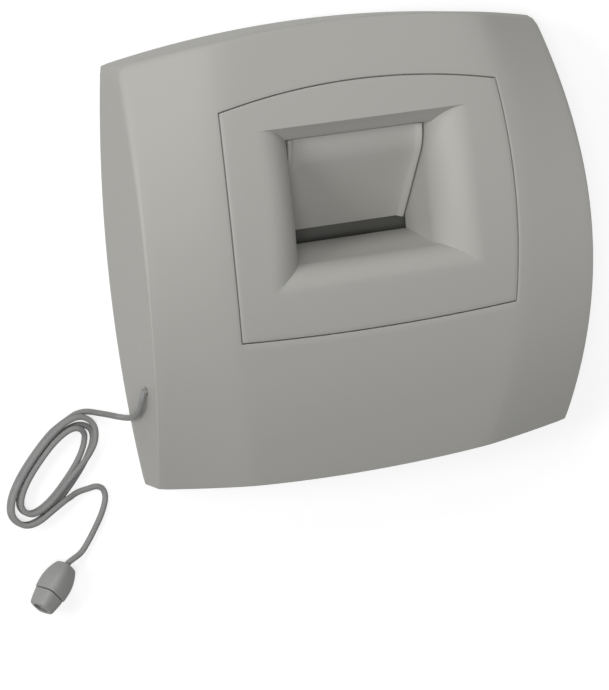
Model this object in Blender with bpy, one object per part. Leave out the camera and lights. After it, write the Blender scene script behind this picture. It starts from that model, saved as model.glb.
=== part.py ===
"""Wall mounted air extract terminal with a pull cord, lying on its back with the cord laid out.

Metres, +Z out of the wall, +Y to the top of the terminal, origin midway between the casing's
corners on the wall. Pulling the cord draws a carriage to the left. A ramp on the carriage pushes
the damper crank down, which opens the damper, and a rack on the carriage winds a small geared
governor that slows the return under the return spring.
"""
import math

import bmesh
import bpy
import numpy as np
from mathutils import Matrix, Vector

# Fits
FIT = 0.0003
SLIDE_FIT = 0.0004

# Outline of the casing on the wall
BODY_WIDTH = 0.188
BODY_HEIGHT = 0.1806
SIDE_BULGE = 0.0056
END_BULGE = 0.0086
BOTTOM_FLATNESS = 0.0024
DRAFT = 0.001
WALL = 0.0022

# Front surface: a middle band that is curved along Y, and a wing at each side
CROWN_Z = 0.04705
CROWN_Y = 0.017
BAND_END_Z = 0.01841
WING_Z = 0.0430
WING_Y = 0.004
WING_END_Z = 0.0203
WING_WIDTH = 0.031
CREASE_Y = 0.015
CREASE_RADIUS = 0.432
CREASE_SOFTNESS = 0.004

# Opening in the cover for the grille insert, and the ledge that carries the insert
CREASE_MARGIN = 0.00295
OPENING_MID_Y = 0.016
OPENING_SIDE_RADIUS = 0.58
TOP_MARGIN = 0.0228
OPENING_TOP_RADIUS = 0.266
BOTTOM_MARGIN = 0.0615
OPENING_BOTTOM_RADIUS = 0.9
LEDGE_WIDTH = 0.003
LEDGE_THICKNESS = 0.0018
LEDGE_ROOT = 0.002
INSERT_GAP = 0.00045
PANEL_THICKNESS = 0.0022

# Funnel in the insert, from its mouth in the panel to the square channel behind
SIDE_LAND = 0.01605
TOP_LAND = 0.015
BOTTOM_LAND = 0.0193
FUNNEL_WALL = 0.002
SIDE_ROLL = (0.015, 0.014)
BOTTOM_ROLL = (0.009, 0.010)
TOP_ROLL = (0.0052, 0.006)
FLOOR_SLOPE = 0.168
CHANNEL_END_Z = 0.0088

# Back plate
PLATE_THICKNESS = 0.003
DUCT_Y = 0.015
DUCT_RADIUS = 0.038
GASKET_WIDTH = 0.005
GASKET_DEPTH = 0.0018
GASKET_OFFSET = 0.003
KEYHOLE_SIDE_MARGIN = 0.0255
KEYHOLE_TOP_MARGIN = 0.0163
KEYHOLE_BOTTOM_MARGIN = 0.0238
KEYHOLE_SLOT = 0.0046
KEYHOLE_HEAD = 0.0085
KEYHOLE_DROP = 0.008

# Cover screws, driven from the back into bosses under the wings
BOSS_SIDE_MARGIN = 0.0155
BOSS_END_MARGIN = 0.0303
BOSS_DIAMETER = 0.0075
COVER_SCREW_DIAMETER = 0.003
COVER_SCREW_LENGTH = 0.012
COVER_SCREW_HEAD = 0.0056
COVER_SCREW_HEAD_HEIGHT = 0.0014

# Air box between the back plate and the channel
BOX_WALL = 0.002
BOX_MARGIN = 0.0025
BOX_FRONT_Z = 0.0205
BOX_LAND = 0.003

# Damper flap and its axle
HINGE_DROP = 0.0085
HINGE_DEPTH = 0.0165
AXLE_DIAMETER = 0.003
FLAP_TOP_RISE = 0.0021
FLAP_TOP_LIFT = 0.0046
FLAP_BEND_DROP = 0.0041
FLAP_BEND_LIFT = 0.0039
FLAP_TIP_RISE = 0.0189
FLAP_TIP_Z = 0.0079
FLAP_THICKNESS = 0.002
FLAP_SIDE_GAP = 0.0006
BARREL_DIAMETER = 0.0058
BUSH_WALL = 0.0011
BUSH_FLANGE = 0.0012
BUSH_FLANGE_RIM = 0.0008

# Crank on the left end of the axle
CRANK_MARGIN = 0.0125
CRANK_THICKNESS = 0.003
CRANK_WIDTH = 0.005
CRANK_HUB = 0.008
PEG_RISE = 0.0085
PEG_Z = 0.021
PEG_DIAMETER = 0.004
PEG_LENGTH = 0.005
COLLAR_LENGTH = 0.002
COLLAR_RIM = 0.0016

# Travel of the cord and the swing that it gives the flap
PULL_TRAVEL = 0.020
FLAP_SWING = math.radians(10)

# Cord line inside the casing, and the carriage on it
CORD_DIAMETER = 0.0023
CORD_RISE = 0.0045
CORD_Z = 0.025
CORD_FIT = 0.0004
CARRIAGE_LEAD = 0.0055
CARRIAGE_LENGTH = 0.044
FOOT_WIDTH = 0.005
FOOT_TOP = 0.018
HEAD_LENGTH = 0.018
HEAD_SIDE = 0.005
HEAD_TOP = 0.030
POCKET_WALL = 0.005
KNOT_DIAMETER = 0.0054
RAMP_THICKNESS = 0.003
RAMP_REACH = 0.005
RAMP_LEAD = 0.003
TRACK_MARGIN = 0.0095
TRACK_OVERRUN = 0.005
TRACK_FLOOR = 0.0018
TRACK_WALL = 0.002
TRACK_LIP = 0.0024

# Rack, timer wheel and governor
GEAR_MODULE = 0.001
PINION_TEETH = 12
WHEEL_TEETH = 24
GOVERNOR_TEETH = 8
ADDENDUM = 0.85
DEDENDUM = 1.1
TOOTH_TIP_SHARE = 0.13
TOOTH_ROOT_SHARE = 0.26
RACK_Z = 0.0105
RACK_HEIGHT = 0.004
RACK_BACK = 0.0025
TIMER_MARGIN = 0.0253
TIMER_OFFSET = 0.0115
WHEEL_CLEARANCE = 0.00125
GOVERNOR_ANGLE = math.radians(-20)
ARBOR_DIAMETER = 0.002
WHEEL_THICKNESS = 0.003
WHEEL_Z = 0.0054
PINION_HEIGHT = 0.007
DRUM_DIAMETER = 0.016
DRUM_HEIGHT = 0.006

# Timer frame: two plates on pillars
FRAME_PLATE = 0.0015
BRIDGE_Z = 0.0165
FRAME_MARGIN = 0.0026
FRAME_CUT = 0.014
PILLAR_DIAMETER = 0.004
BRIDGE_SCREW_DIAMETER = 0.002
BRIDGE_SCREW_LENGTH = 0.008
BRIDGE_SCREW_HEAD = 0.0038
BRIDGE_SCREW_HEAD_HEIGHT = 0.0013
PILLAR_OFFSETS = ((-0.0153, -0.0015), (0.001, -0.0154), (0.028, -0.005))

# Return spring and its post
SPRING_Z = 0.0125
SPRING_DIAMETER = 0.006
SPRING_WIRE = 0.0008
SPRING_TURNS = 10
SPRING_STUB = 0.002
SPRING_ROOM = 0.052
POST_DIAMETER = 0.005
POST_TOP = 0.0165

# Cord bush in the left wall
CORD_BUSH_WALL = 0.0012
CORD_BUSH_FLANGE = 0.0014
CORD_BUSH_RIM = 0.0018
CORD_BUSH_PROUD = 0.0004
CORD_BUSH_FLARE = 0.0009

# Cord outside the casing: hand chosen route points, then the coil, then the tail
TABLE_LIFT = 0.00005
LEAD_ROUTE = (
    (-0.0939, -0.0422, 0.0250),
    (-0.0944, -0.0444, 0.0244),
    (-0.0943, -0.0472, 0.0219),
    (-0.0942, -0.0498, 0.0182),
    (-0.0941, -0.0519, 0.0138),
    (-0.0943, -0.0533, 0.0087),
    (-0.0950, -0.0537, 0.0041),
    (-0.0972, -0.0532, 0.0016),
    (-0.1003, -0.0521, 0.0012),
    (-0.1040, -0.0509, 0.0012),
    (-0.1078, -0.0497, 0.0012),
    (-0.1103, -0.0493, 0.0012),
    (-0.1128, -0.0495, 0.0012),
    (-0.1153, -0.0503, 0.0012),
)
COIL_X = -0.1258
COIL_Y = -0.0698
COIL_TURN = math.radians(46.8)
COIL_LENGTH = 0.0478
COIL_WIDTH = 0.0193
COIL_LENGTH_STEP = 0.0048
COIL_GAP = 0.00045
COIL_START = math.radians(60)
COIL_TURNS = 3.5
COIL_POINTS = 24
COIL_ROUNDNESS = 2.35
# Where the strand changes its place in the bundle: from and to in turns, columns in, layers up
COIL_MOVES = ((0.70, 0.95, 1, 0), (1.72, 1.88, 0, 1), (2.56, 2.72, -1, 0))
TAIL_ROUTE = (
    (-0.1226, -0.0820, 0.0035),
    (-0.1200, -0.0811, 0.0027),
    (-0.1176, -0.0803, 0.0016),
    (-0.1152, -0.0797, 0.0012),
    (-0.1118, -0.0792, 0.0012),
    (-0.1087, -0.0789, 0.0012),
    (-0.1063, -0.0801, 0.0012),
    (-0.1054, -0.0828, 0.0012),
    (-0.1060, -0.0860, 0.0012),
    (-0.1080, -0.0904, 0.0012),
    (-0.1112, -0.0954, 0.0012),
    (-0.1148, -0.1003, 0.0013),
    (-0.1182, -0.1036, 0.0019),
)
ROUTE_STEP = CORD_DIAMETER

# Pull knob: a body and a cap, with the end knot inside
KNOB_X = -0.1249
KNOB_Y = -0.1069
KNOB_HEADING = math.radians(225)
KNOB_TILT = math.radians(13)
KNOB_ROLL = math.radians(-22)
KNOB_LENGTH = 0.0200
KNOB_WIDTH = 0.0110
KNOB_TOP_WIDTH = 0.0066
KNOB_END_WIDTH = 0.0086
KNOB_WIDEST = 0.0093
KNOB_SEAM = 0.0132
KNOB_CAVITY = 0.0062
KNOB_NECK = 0.0045
KNOB_MOUTH = 0.0052
KNOB_SQUARENESS = 3.6
KNOB_STEP = 0.0003
KNOB_APPROACH = 0.0014

# Facets
ROUND = 24
SMALL_ROUND = 16

# Values that follow from the sizes above
HALF_WIDTH = BODY_WIDTH / 2
HALF_HEIGHT = BODY_HEIGHT / 2
CORNER_X = HALF_WIDTH - SIDE_BULGE
CORNER_Y = HALF_HEIGHT - END_BULGE
CREASE_X = HALF_WIDTH - WING_WIDTH
BAND_RADIUS = (HALF_HEIGHT + CROWN_Y) ** 2 / (2 * (CROWN_Z - BAND_END_Z))
WING_RADIUS = (CORNER_Y - WING_Y) ** 2 / (2 * (WING_Z - WING_END_Z))
OPENING_X = CREASE_X - CREASE_MARGIN
OPENING_TOP = HALF_HEIGHT - TOP_MARGIN
OPENING_BOTTOM = BOTTOM_MARGIN - HALF_HEIGHT
MOUTH_X = OPENING_X - SIDE_LAND
MOUTH_TOP = OPENING_TOP - TOP_LAND
MOUTH_BOTTOM = OPENING_BOTTOM + BOTTOM_LAND
FUNNEL_FRONT_Z = CROWN_Z - (MOUTH_BOTTOM - CROWN_Y) ** 2 / (2 * BAND_RADIUS)
CHANNEL_X = MOUTH_X - SIDE_ROLL[0]
BOSS_X = HALF_WIDTH - BOSS_SIDE_MARGIN
BOSS_Y = HALF_HEIGHT - BOSS_END_MARGIN
KEYHOLE_X = HALF_WIDTH - KEYHOLE_SIDE_MARGIN
KEYHOLE_TOP = HALF_HEIGHT - KEYHOLE_TOP_MARGIN
KEYHOLE_BOTTOM = KEYHOLE_BOTTOM_MARGIN - HALF_HEIGHT
HINGE_Y = MOUTH_TOP - HINGE_DROP
HINGE_Z = FUNNEL_FRONT_Z - HINGE_DEPTH
FLAP_TOP = (HINGE_Y + FLAP_TOP_RISE, HINGE_Z + FLAP_TOP_LIFT)
FLAP_BEND = (HINGE_Y - FLAP_BEND_DROP, HINGE_Z + FLAP_BEND_LIFT)
FLAP_TIP = (MOUTH_BOTTOM + FLAP_TIP_RISE, FLAP_TIP_Z)
FLAP_X = CHANNEL_X - FLAP_SIDE_GAP
BUSH_BORE = AXLE_DIAMETER + 2 * FIT
BUSH_OUTER = BUSH_BORE + 2 * BUSH_WALL
CORD_BORE = CORD_DIAMETER + 2 * CORD_FIT
FLOOR_Z = PLATE_THICKNESS + FIT
TRACK_TOP = FLOOR_Z + TRACK_FLOOR
PINION_RADIUS = PINION_TEETH * GEAR_MODULE / 2
WHEEL_RADIUS = WHEEL_TEETH * GEAR_MODULE / 2
GOVERNOR_RADIUS = GOVERNOR_TEETH * GEAR_MODULE / 2
GEAR_DISTANCE = WHEEL_RADIUS + GOVERNOR_RADIUS
CRANK_X = -(MOUTH_X + CRANK_MARGIN)
TIMER_X = CRANK_X + TIMER_OFFSET
TIMER_Y = TIMER_MARGIN - HALF_HEIGHT
RACK_PITCH_LINE = TIMER_Y + PINION_RADIUS
GOVERNOR_X = TIMER_X + GEAR_DISTANCE * math.cos(GOVERNOR_ANGLE)
GOVERNOR_Y = TIMER_Y + GEAR_DISTANCE * math.sin(GOVERNOR_ANGLE)
PILLARS = [(TIMER_X + x, TIMER_Y + y) for x, y in PILLAR_OFFSETS]
TRACK_INNER = FOOT_WIDTH / 2 + SLIDE_FIT
TRACK_OUTER = TRACK_INNER + TRACK_WALL
FOOT_Y = TIMER_Y + WHEEL_RADIUS + ADDENDUM * GEAR_MODULE + WHEEL_CLEARANCE + TRACK_OUTER
CORD_Y = FOOT_Y + CORD_RISE
PEG_Y = CORD_Y + PEG_RISE
CARRIAGE_LEFT = CRANK_X - CARRIAGE_LEAD
CARRIAGE_RIGHT = CARRIAGE_LEFT + CARRIAGE_LENGTH
TRACK_LEFT = TRACK_MARGIN - HALF_WIDTH
TRACK_RIGHT = CARRIAGE_RIGHT + TRACK_OVERRUN
POST_X = CARRIAGE_RIGHT + SPRING_ROOM
COIL_Z = CORD_DIAMETER / 2 + TABLE_LIFT
COIL_STEP = CORD_DIAMETER + COIL_GAP


def clear_scene():
    for thing in list(bpy.data.objects):
        bpy.data.objects.remove(thing, do_unlink=True)


def material(name, colour, roughness, metallic=0.0):
    made = bpy.data.materials.new(name)
    made.use_nodes = True
    shader = made.node_tree.nodes["Principled BSDF"]
    shader.inputs["Base Color"].default_value = (*colour, 1.0)
    shader.inputs["Roughness"].default_value = roughness
    shader.inputs["Metallic"].default_value = metallic
    return made


def pivot(name, place):
    empty = bpy.data.objects.new(name, None)
    empty.location = place
    bpy.context.scene.collection.objects.link(empty)
    return empty


def place_object(name, data, look, parent):
    thing = bpy.data.objects.new(name, data)
    bpy.context.scene.collection.objects.link(thing)
    if look is not None:
        data.materials.append(look)
    if parent is not None:
        thing.parent = parent
    return thing


def add_mesh(name, bm, look, parent=None, smooth=True):
    """Turn a bmesh in world places into an object, with its origin on the parent's pivot."""
    bmesh.ops.recalc_face_normals(bm, faces=bm.faces)
    if parent is not None:
        bmesh.ops.translate(bm, verts=bm.verts, vec=-Vector(parent.location))
    mesh = bpy.data.meshes.new(name)
    bm.to_mesh(mesh)
    bm.free()
    if smooth:
        mesh.shade_smooth()
        mesh.set_sharp_from_angle(angle=math.radians(32))
    return place_object(name, mesh, look, parent)


def add_rings(bm, rings, around):
    """Bridge rings of equal length. Around joins last to first, otherwise both ends are capped."""
    rows = []
    for ring in rings:
        rows.append([bm.verts.new(point) for point in ring])
    count = len(rows[0])
    pairs = list(zip(rows[:-1], rows[1:]))
    if around:
        pairs.append((rows[-1], rows[0]))
    for first, second in pairs:
        for k in range(count):
            n = (k + 1) % count
            bm.faces.new((first[k], first[n], second[n], second[k]))
    if not around:
        bm.faces.new(rows[0])
        bm.faces.new(rows[-1])


def ring_object(name, rings, look, parent=None, around=True, smooth=True):
    bm = bmesh.new()
    add_rings(bm, rings, around)
    return add_mesh(name, bm, look, parent, smooth)


def circle(axis, centre, radius, count=ROUND):
    """Points of a circle about an axis named X, Y or Z."""
    points = []
    for k in range(count):
        angle = math.tau * k / count
        a = radius * math.cos(angle)
        b = radius * math.sin(angle)
        offset = {"X": (0, a, b), "Y": (b, 0, a), "Z": (a, b, 0)}[axis]
        points.append(Vector(centre) + Vector(offset))
    return points


def turned(axis, centre, profile, count=ROUND):
    """Rings about an axis from (station, radius) pairs, the station measured along the axis."""
    direction = {"X": Vector((1, 0, 0)), "Y": Vector((0, 1, 0)), "Z": Vector((0, 0, 1))}[axis]
    return [circle(axis, Vector(centre) + direction * at, radius, count) for at, radius in profile]


def box_rings(low, high):
    x0, y0, z0 = low
    x1, y1, z1 = high
    return [[(x0, y0, z), (x1, y0, z), (x1, y1, z), (x0, y1, z)] for z in (z0, z1)]


def add_cutter(name, ring_sets, parent=None):
    """One hidden object that holds several closed cutting bodies."""
    bm = bmesh.new()
    for rings, around in ring_sets:
        add_rings(bm, rings, around)
    cutter = add_mesh(name, bm, None, parent, smooth=False)
    cutter.hide_render = True
    cutter.display_type = "WIRE"
    return cutter


def boolean(target, tool, operation):
    step = target.modifiers.new(tool.name, "BOOLEAN")
    step.operation = operation
    step.solver = "EXACT"
    step.object = tool


def outline_x(y, inset):
    return HALF_WIDTH - SIDE_BULGE * (y / CORNER_Y) ** 2 - inset


def outline_y(x, inset):
    return HALF_HEIGHT - END_BULGE * (x / CORNER_X) ** 2 - inset


def bottom_y(x, inset):
    """The bottom edge, which has the corners of the top edge turned over but bulges less."""
    return BOTTOM_FLATNESS * (1 - (x / CORNER_X) ** 2) - outline_y(x, inset)


def crease_x(y):
    return CREASE_X - (y - CREASE_Y) ** 2 / (2 * CREASE_RADIUS)


def front_z(x, y):
    """Height of the front: the curved band, falling away past the crease to the wing's edge."""
    band = CROWN_Z - (y - CROWN_Y) ** 2 / (2 * BAND_RADIUS)
    wing = WING_Z - (y - WING_Y) ** 2 / (2 * WING_RADIUS)
    crease = crease_x(y)
    slope = (wing - band) / (outline_x(y, 0) - crease)
    past = abs(x) - crease
    return band + slope * (past + math.hypot(past, CREASE_SOFTNESS)) / 2


def opening_x(y, grow):
    return OPENING_X - (y - OPENING_MID_Y) ** 2 / (2 * OPENING_SIDE_RADIUS) + grow


def column_x(u, y, inset, grow):
    """X of a grid column: 0 is the middle, 1 the opening's edge, 2 the crease, 3 the outline."""
    edges = (0, opening_x(y, grow), crease_x(y), outline_x(y, inset))
    k = min(int(abs(u)), len(edges) - 2)
    return math.copysign(edges[k] + (edges[k + 1] - edges[k]) * (abs(u) - k), u)


def row_y(v, x, inset, grow):
    """Y of a grid row: -2 and 2 are the outline, -1 and 1 the opening's bottom and top."""
    bottom = OPENING_BOTTOM + x ** 2 / (2 * OPENING_BOTTOM_RADIUS) - grow
    top = OPENING_TOP - x ** 2 / (2 * OPENING_TOP_RADIUS) + grow
    if v < -1:
        return bottom + (bottom_y(x, inset) - bottom) * (-1 - v)
    if v > 1:
        return top + (outline_y(x, inset) - top) * (v - 1)
    return bottom + (top - bottom) * (v + 1) / 2


def front_point(u, v, inset=0.0, grow=0.0, drop=0.0, level=None):
    """Point of the casing's grid, on the front surface less a drop, or at a fixed level."""
    x = 0.0
    y = 0.0
    z = 0.0 if level is None else level
    for _ in range(8):
        shrink = inset + DRAFT * z
        x = column_x(u, y, shrink, grow)
        y = row_y(v, x, shrink, grow)
        if level is None:
            z = front_z(x, y) - drop
    return Vector((x, y, z))


def steps(first, last, count):
    """Even steps from first towards last, with last left out."""
    return [first + (last - first) * k / count for k in range(count)]


WING_COLUMN_COUNT = 3
INSERT_COLUMN_COUNT = 8
BOTTOM_ROW_COUNT = 5
INSERT_ROW_COUNT = 5
TOP_ROW_COUNT = 2
LEFT_COLUMNS = steps(-3, -2, WING_COLUMN_COUNT) + [-2]
RIGHT_COLUMNS = steps(2, 3, WING_COLUMN_COUNT) + [3]
COLUMNS = LEFT_COLUMNS + steps(-1, 1, INSERT_COLUMN_COUNT) + [1] + RIGHT_COLUMNS
UPPER_ROWS = steps(-1, 1, INSERT_ROW_COUNT) + steps(1, 2, TOP_ROW_COUNT) + [2]
ROWS = steps(-2, -1, BOTTOM_ROW_COUNT) + UPPER_ROWS


def border(columns, rows):
    """Grid places round the edge of a block of columns and rows, in one turn."""
    loop = [(u, rows[0]) for u in columns[:-1]]
    loop += [(columns[-1], v) for v in rows[:-1]]
    loop += [(u, rows[-1]) for u in reversed(columns[1:])]
    loop += [(columns[0], v) for v in reversed(rows[1:])]
    return loop


OUTER_BORDER = border(COLUMNS, ROWS)
INNER_COLUMNS = [u for u in COLUMNS if abs(u) <= 1]
INNER_ROWS = [v for v in ROWS if abs(v) <= 1]
OPENING_BORDER = border(INNER_COLUMNS, INNER_ROWS)


def add_sheet(bm, make_point):
    """Grid sheet over the front with the opening left out. Returns its vertices by grid place."""
    verts = {}
    for u in COLUMNS:
        for v in ROWS:
            if abs(u) < 1 and abs(v) < 1:
                continue
            verts[u, v] = bm.verts.new(make_point(u, v))
    for u0, u1 in zip(COLUMNS[:-1], COLUMNS[1:]):
        for v0, v1 in zip(ROWS[:-1], ROWS[1:]):
            if -1 <= u0 and u1 <= 1 and -1 <= v0 and v1 <= 1:
                continue
            bm.faces.new((verts[u0, v0], verts[u1, v0], verts[u1, v1], verts[u0, v1]))
    return verts


def bridge(bm, loops):
    for first, second in zip(loops[:-1], loops[1:]):
        for k in range(len(first)):
            n = (k + 1) % len(first)
            bm.faces.new((first[k], first[n], second[n], second[k]))


def front_cover(look):
    """Thin shell with a ledge round the insert's opening, screw bosses and the cord's hole."""
    bm = bmesh.new()
    outside = add_sheet(bm, lambda u, v: front_point(u, v))
    inside = add_sheet(bm, lambda u, v: front_point(u, v, WALL, LEDGE_ROOT, WALL))
    seat = PANEL_THICKNESS + SLIDE_FIT

    def new_loop(places, *args, **kwargs):
        return [bm.verts.new(front_point(u, v, *args, **kwargs)) for u, v in places]

    bridge(bm, (
        [outside[place] for place in OUTER_BORDER],
        new_loop(OUTER_BORDER, level=0.0),
        new_loop(OUTER_BORDER, WALL, level=0.0),
        [inside[place] for place in OUTER_BORDER],
    ))
    bridge(bm, (
        [outside[place] for place in OPENING_BORDER],
        new_loop(OPENING_BORDER, drop=seat),
        new_loop(OPENING_BORDER, grow=-LEDGE_WIDTH, drop=seat),
        new_loop(OPENING_BORDER, grow=-LEDGE_WIDTH, drop=seat + LEDGE_THICKNESS),
        new_loop(OPENING_BORDER, grow=LEDGE_ROOT, drop=seat + LEDGE_THICKNESS),
        [inside[place] for place in OPENING_BORDER],
    ))
    cover = add_mesh("front_cover", bm, look)
    bosses = []
    bores = []
    bore = COVER_SCREW_DIAMETER / 2 + FIT
    for x, y in boss_places():
        foot = circle("Z", (x, y, PLATE_THICKNESS + FIT), BOSS_DIAMETER / 2, SMALL_ROUND)
        head = [Vector((p.x, p.y, front_z(p.x, p.y) - WALL / 2)) for p in foot]
        bosses.append(([foot, head], False))
        depth = PLATE_THICKNESS + COVER_SCREW_LENGTH + FIT
        profile = ((PLATE_THICKNESS - FIT, bore), (depth, bore))
        bores.append((turned("Z", (x, y, 0), profile, SMALL_ROUND), False))
    boolean(cover, add_cutter("boss_shapes", bosses), "UNION")
    hole = CORD_BORE / 2 + CORD_BUSH_WALL + FIT
    cord_hole = turned("X", (-HALF_WIDTH, CORD_Y, CORD_Z), ((-WALL, hole), (4 * WALL, hole)), SMALL_ROUND)
    bores.append((cord_hole, False))
    boolean(cover, add_cutter("cover_bores", bores), "DIFFERENCE")
    return cover


def boss_places():
    return [(sx * BOSS_X, sy * BOSS_Y) for sx in (-1, 1) for sy in (-1, 1)]


def roll_in(depth, roll):
    """How far a rolled edge has come in at a depth below the front."""
    reach, height = roll
    share = min(max(depth / height, 0), 1)
    return reach * math.sqrt(1 - (1 - share) ** 2)


def funnel_rectangle(z, wall):
    """Half width, bottom and top of the funnel at a level, or of its rear side with a wall."""
    depth = FUNNEL_FRONT_Z - wall - z
    side = MOUTH_X - roll_in(depth, [size - wall for size in SIDE_ROLL])
    low_roll = [size - wall for size in BOTTOM_ROLL]
    slope = FLOOR_SLOPE * max(0, FUNNEL_FRONT_Z - BOTTOM_ROLL[1] - z)
    bottom = MOUTH_BOTTOM + roll_in(depth, low_roll) + slope
    top = MOUTH_TOP - roll_in(depth, [size - wall for size in TOP_ROLL])
    return side, bottom, top


FUNNEL_DEPTHS = (0.0006, 0.002, 0.004, 0.0065, 0.0095, 0.014)
RIM_STEPS = steps(-1, 1, INSERT_COLUMN_COUNT) + [1]
INSERT_BORDER = border(RIM_STEPS, RIM_STEPS)


def grille_insert(look):
    """Clip-in panel with a rolled funnel that runs into a square channel."""

    def rectangle(side, bottom, top, z=None, drop=0.0):
        points = []
        for u, v in INSERT_BORDER:
            x = u * side
            y = bottom + (top - bottom) * (v + 1) / 2
            points.append((x, y, front_z(x, y) - drop if z is None else z))
        return points

    def panel_edge(drop):
        return [front_point(u, v, grow=-INSERT_GAP, drop=drop) for u, v in INSERT_BORDER]

    def blend(first, second, share):
        points = []
        for a, b in zip(first, second):
            mixed = Vector(a).lerp(Vector(b), share)
            points.append(mixed)
        return points

    mouth = rectangle(MOUTH_X, MOUTH_BOTTOM, MOUTH_TOP)
    middle = [(p.x, p.y, front_z(p.x, p.y)) for p in blend(panel_edge(0), mouth, 0.5)]
    rings = [panel_edge(PANEL_THICKNESS), panel_edge(0), middle, mouth]
    levels = [FUNNEL_FRONT_Z - depth for depth in FUNNEL_DEPTHS] + [CHANNEL_END_Z]
    rings += [rectangle(*funnel_rectangle(z, 0), z) for z in levels]
    for z in reversed([level for level in levels if FUNNEL_FRONT_Z - level > 2 * FUNNEL_WALL]):
        side, bottom, top = funnel_rectangle(z, FUNNEL_WALL)
        rings.append(rectangle(side, bottom, top, z))
    rings.append(rectangle(MOUTH_X, MOUTH_BOTTOM, MOUTH_TOP, drop=PANEL_THICKNESS + FIT))
    insert = ring_object("grille_insert", rings, look)
    hole = BUSH_OUTER / 2 + FIT
    reach = CHANNEL_X + 2 * FUNNEL_WALL
    bores = []
    for side in (-1, 1):
        profile = ((side * (CHANNEL_X - FUNNEL_WALL), hole), (side * reach, hole))
        bores.append((turned("X", (0, HINGE_Y, HINGE_Z), profile, SMALL_ROUND), False))
    boolean(insert, add_cutter("insert_bores", bores), "DIFFERENCE")
    return insert


def around_duct(radius, z):
    """Circle about the duct with one point towards each border place of the casing."""
    points = []
    for u, v in OUTER_BORDER:
        edge = front_point(u, v, WALL + FIT, level=z)
        away = Vector((edge.x, edge.y - DUCT_Y)).normalized() * radius
        points.append((away.x, DUCT_Y + away.y, z))
    return points


def keyhole_rings(x, y):
    """Cutter for a keyhole: a wide hole below, and a slot that rises to the wall screw's seat."""
    wide = KEYHOLE_HEAD / 2
    slim = KEYHOLE_SLOT / 2
    neck = math.asin(slim / wide)
    turns = SMALL_ROUND - 2
    outline = []
    for k in range(turns + 1):
        angle = math.pi / 2 + neck + (math.tau - 2 * neck) * k / turns
        outline.append((x + wide * math.cos(angle), y - KEYHOLE_DROP + wide * math.sin(angle)))
    for k in range(SMALL_ROUND // 2 + 1):
        angle = math.tau * k / SMALL_ROUND
        outline.append((x + slim * math.cos(angle), y + slim * math.sin(angle)))
    return [[(px, py, z) for px, py in outline] for z in (-PLATE_THICKNESS, 2 * PLATE_THICKNESS)]


def back_plate(look):
    """Flat plate inside the cover, with the duct hole, the gasket groove and holes for screws."""
    edge_low = [front_point(u, v, WALL + FIT, level=0.0) for u, v in OUTER_BORDER]
    edge_high = [front_point(u, v, WALL + FIT, level=PLATE_THICKNESS) for u, v in OUTER_BORDER]
    inner = DUCT_RADIUS + GASKET_OFFSET
    outer = inner + GASKET_WIDTH
    groove = GASKET_DEPTH + FIT
    plate = ring_object("back_plate", [
        edge_low,
        around_duct(outer, 0),
        around_duct(outer, groove),
        around_duct(inner, groove),
        around_duct(inner, 0),
        around_duct(DUCT_RADIUS, 0),
        around_duct(DUCT_RADIUS, PLATE_THICKNESS),
        edge_high,
    ], look)
    holes = []
    for x in (-KEYHOLE_X, KEYHOLE_X):
        for y in (KEYHOLE_BOTTOM, KEYHOLE_TOP):
            holes.append((keyhole_rings(x, y), False))
    shank = COVER_SCREW_DIAMETER / 2 + FIT
    head = COVER_SCREW_HEAD / 2 + FIT
    sink = COVER_SCREW_HEAD_HEIGHT + 2 * FIT
    for x, y in boss_places():
        profile = ((-PLATE_THICKNESS, head), (sink, head), (sink, shank), (2 * PLATE_THICKNESS, shank))
        holes.append((turned("Z", (x, y, 0), profile, SMALL_ROUND), False))
    boolean(plate, add_cutter("plate_holes", holes), "DIFFERENCE")


def wall_gasket(look):
    inner = DUCT_RADIUS + GASKET_OFFSET + FIT
    outer = inner + GASKET_WIDTH - 2 * FIT
    profile = ((0, inner), (0, outer), (GASKET_DEPTH, outer), (GASKET_DEPTH, inner))
    ring_object("wall_gasket", turned("Z", (0, DUCT_Y, 0), profile, 2 * ROUND), look)


def screw_rings(x, y, head_z, head_height, head, shank, length, up):
    """One plain screw along Z. Its shank runs up from the head, or down."""
    turn = 1 if up else -1
    profile = (
        (head_z, head / 2),
        (head_z + turn * head_height, head / 2),
        (head_z + turn * head_height, shank / 2),
        (head_z + turn * (head_height + length), shank / 2),
    )
    return turned("Z", (x, y, 0), profile, SMALL_ROUND)


def cover_screws(look):
    shank = COVER_SCREW_LENGTH - COVER_SCREW_HEAD_HEIGHT
    for k, (x, y) in enumerate(boss_places()):
        rings = screw_rings(x, y, FIT, COVER_SCREW_HEAD_HEIGHT, COVER_SCREW_HEAD,
                            COVER_SCREW_DIAMETER, shank, True)
        ring_object(f"cover_screw_{k + 1}", rings, look, around=False)


def air_box(look):
    """Box round the duct hole, with a square opening that takes the insert's channel."""
    low = FLOOR_Z
    roof = BOX_FRONT_Z - BOX_WALL
    side, bottom, top = funnel_rectangle(BOX_FRONT_Z, FUNNEL_WALL)
    hole = (side + SLIDE_FIT, bottom - SLIDE_FIT, top + SLIDE_FIT)

    half = DUCT_RADIUS + BOX_MARGIN
    outer = (max(half, hole[0] + BOX_LAND), min(DUCT_Y - half, hole[1] - BOX_LAND),
             max(DUCT_Y + half, hole[2] + BOX_LAND))
    inner = (outer[0] - BOX_WALL, outer[1] + BOX_WALL, outer[2] - BOX_WALL)

    def rectangle(sides, z):
        x, y0, y1 = sides
        return [(-x, y0, z), (x, y0, z), (x, y1, z), (-x, y1, z)]

    rings = [rectangle(outer, low), rectangle(outer, BOX_FRONT_Z), rectangle(hole, BOX_FRONT_Z),
             rectangle(hole, roof), rectangle(inner, roof), rectangle(inner, low)]
    ring_object("air_box", rings, look, smooth=False)


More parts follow.
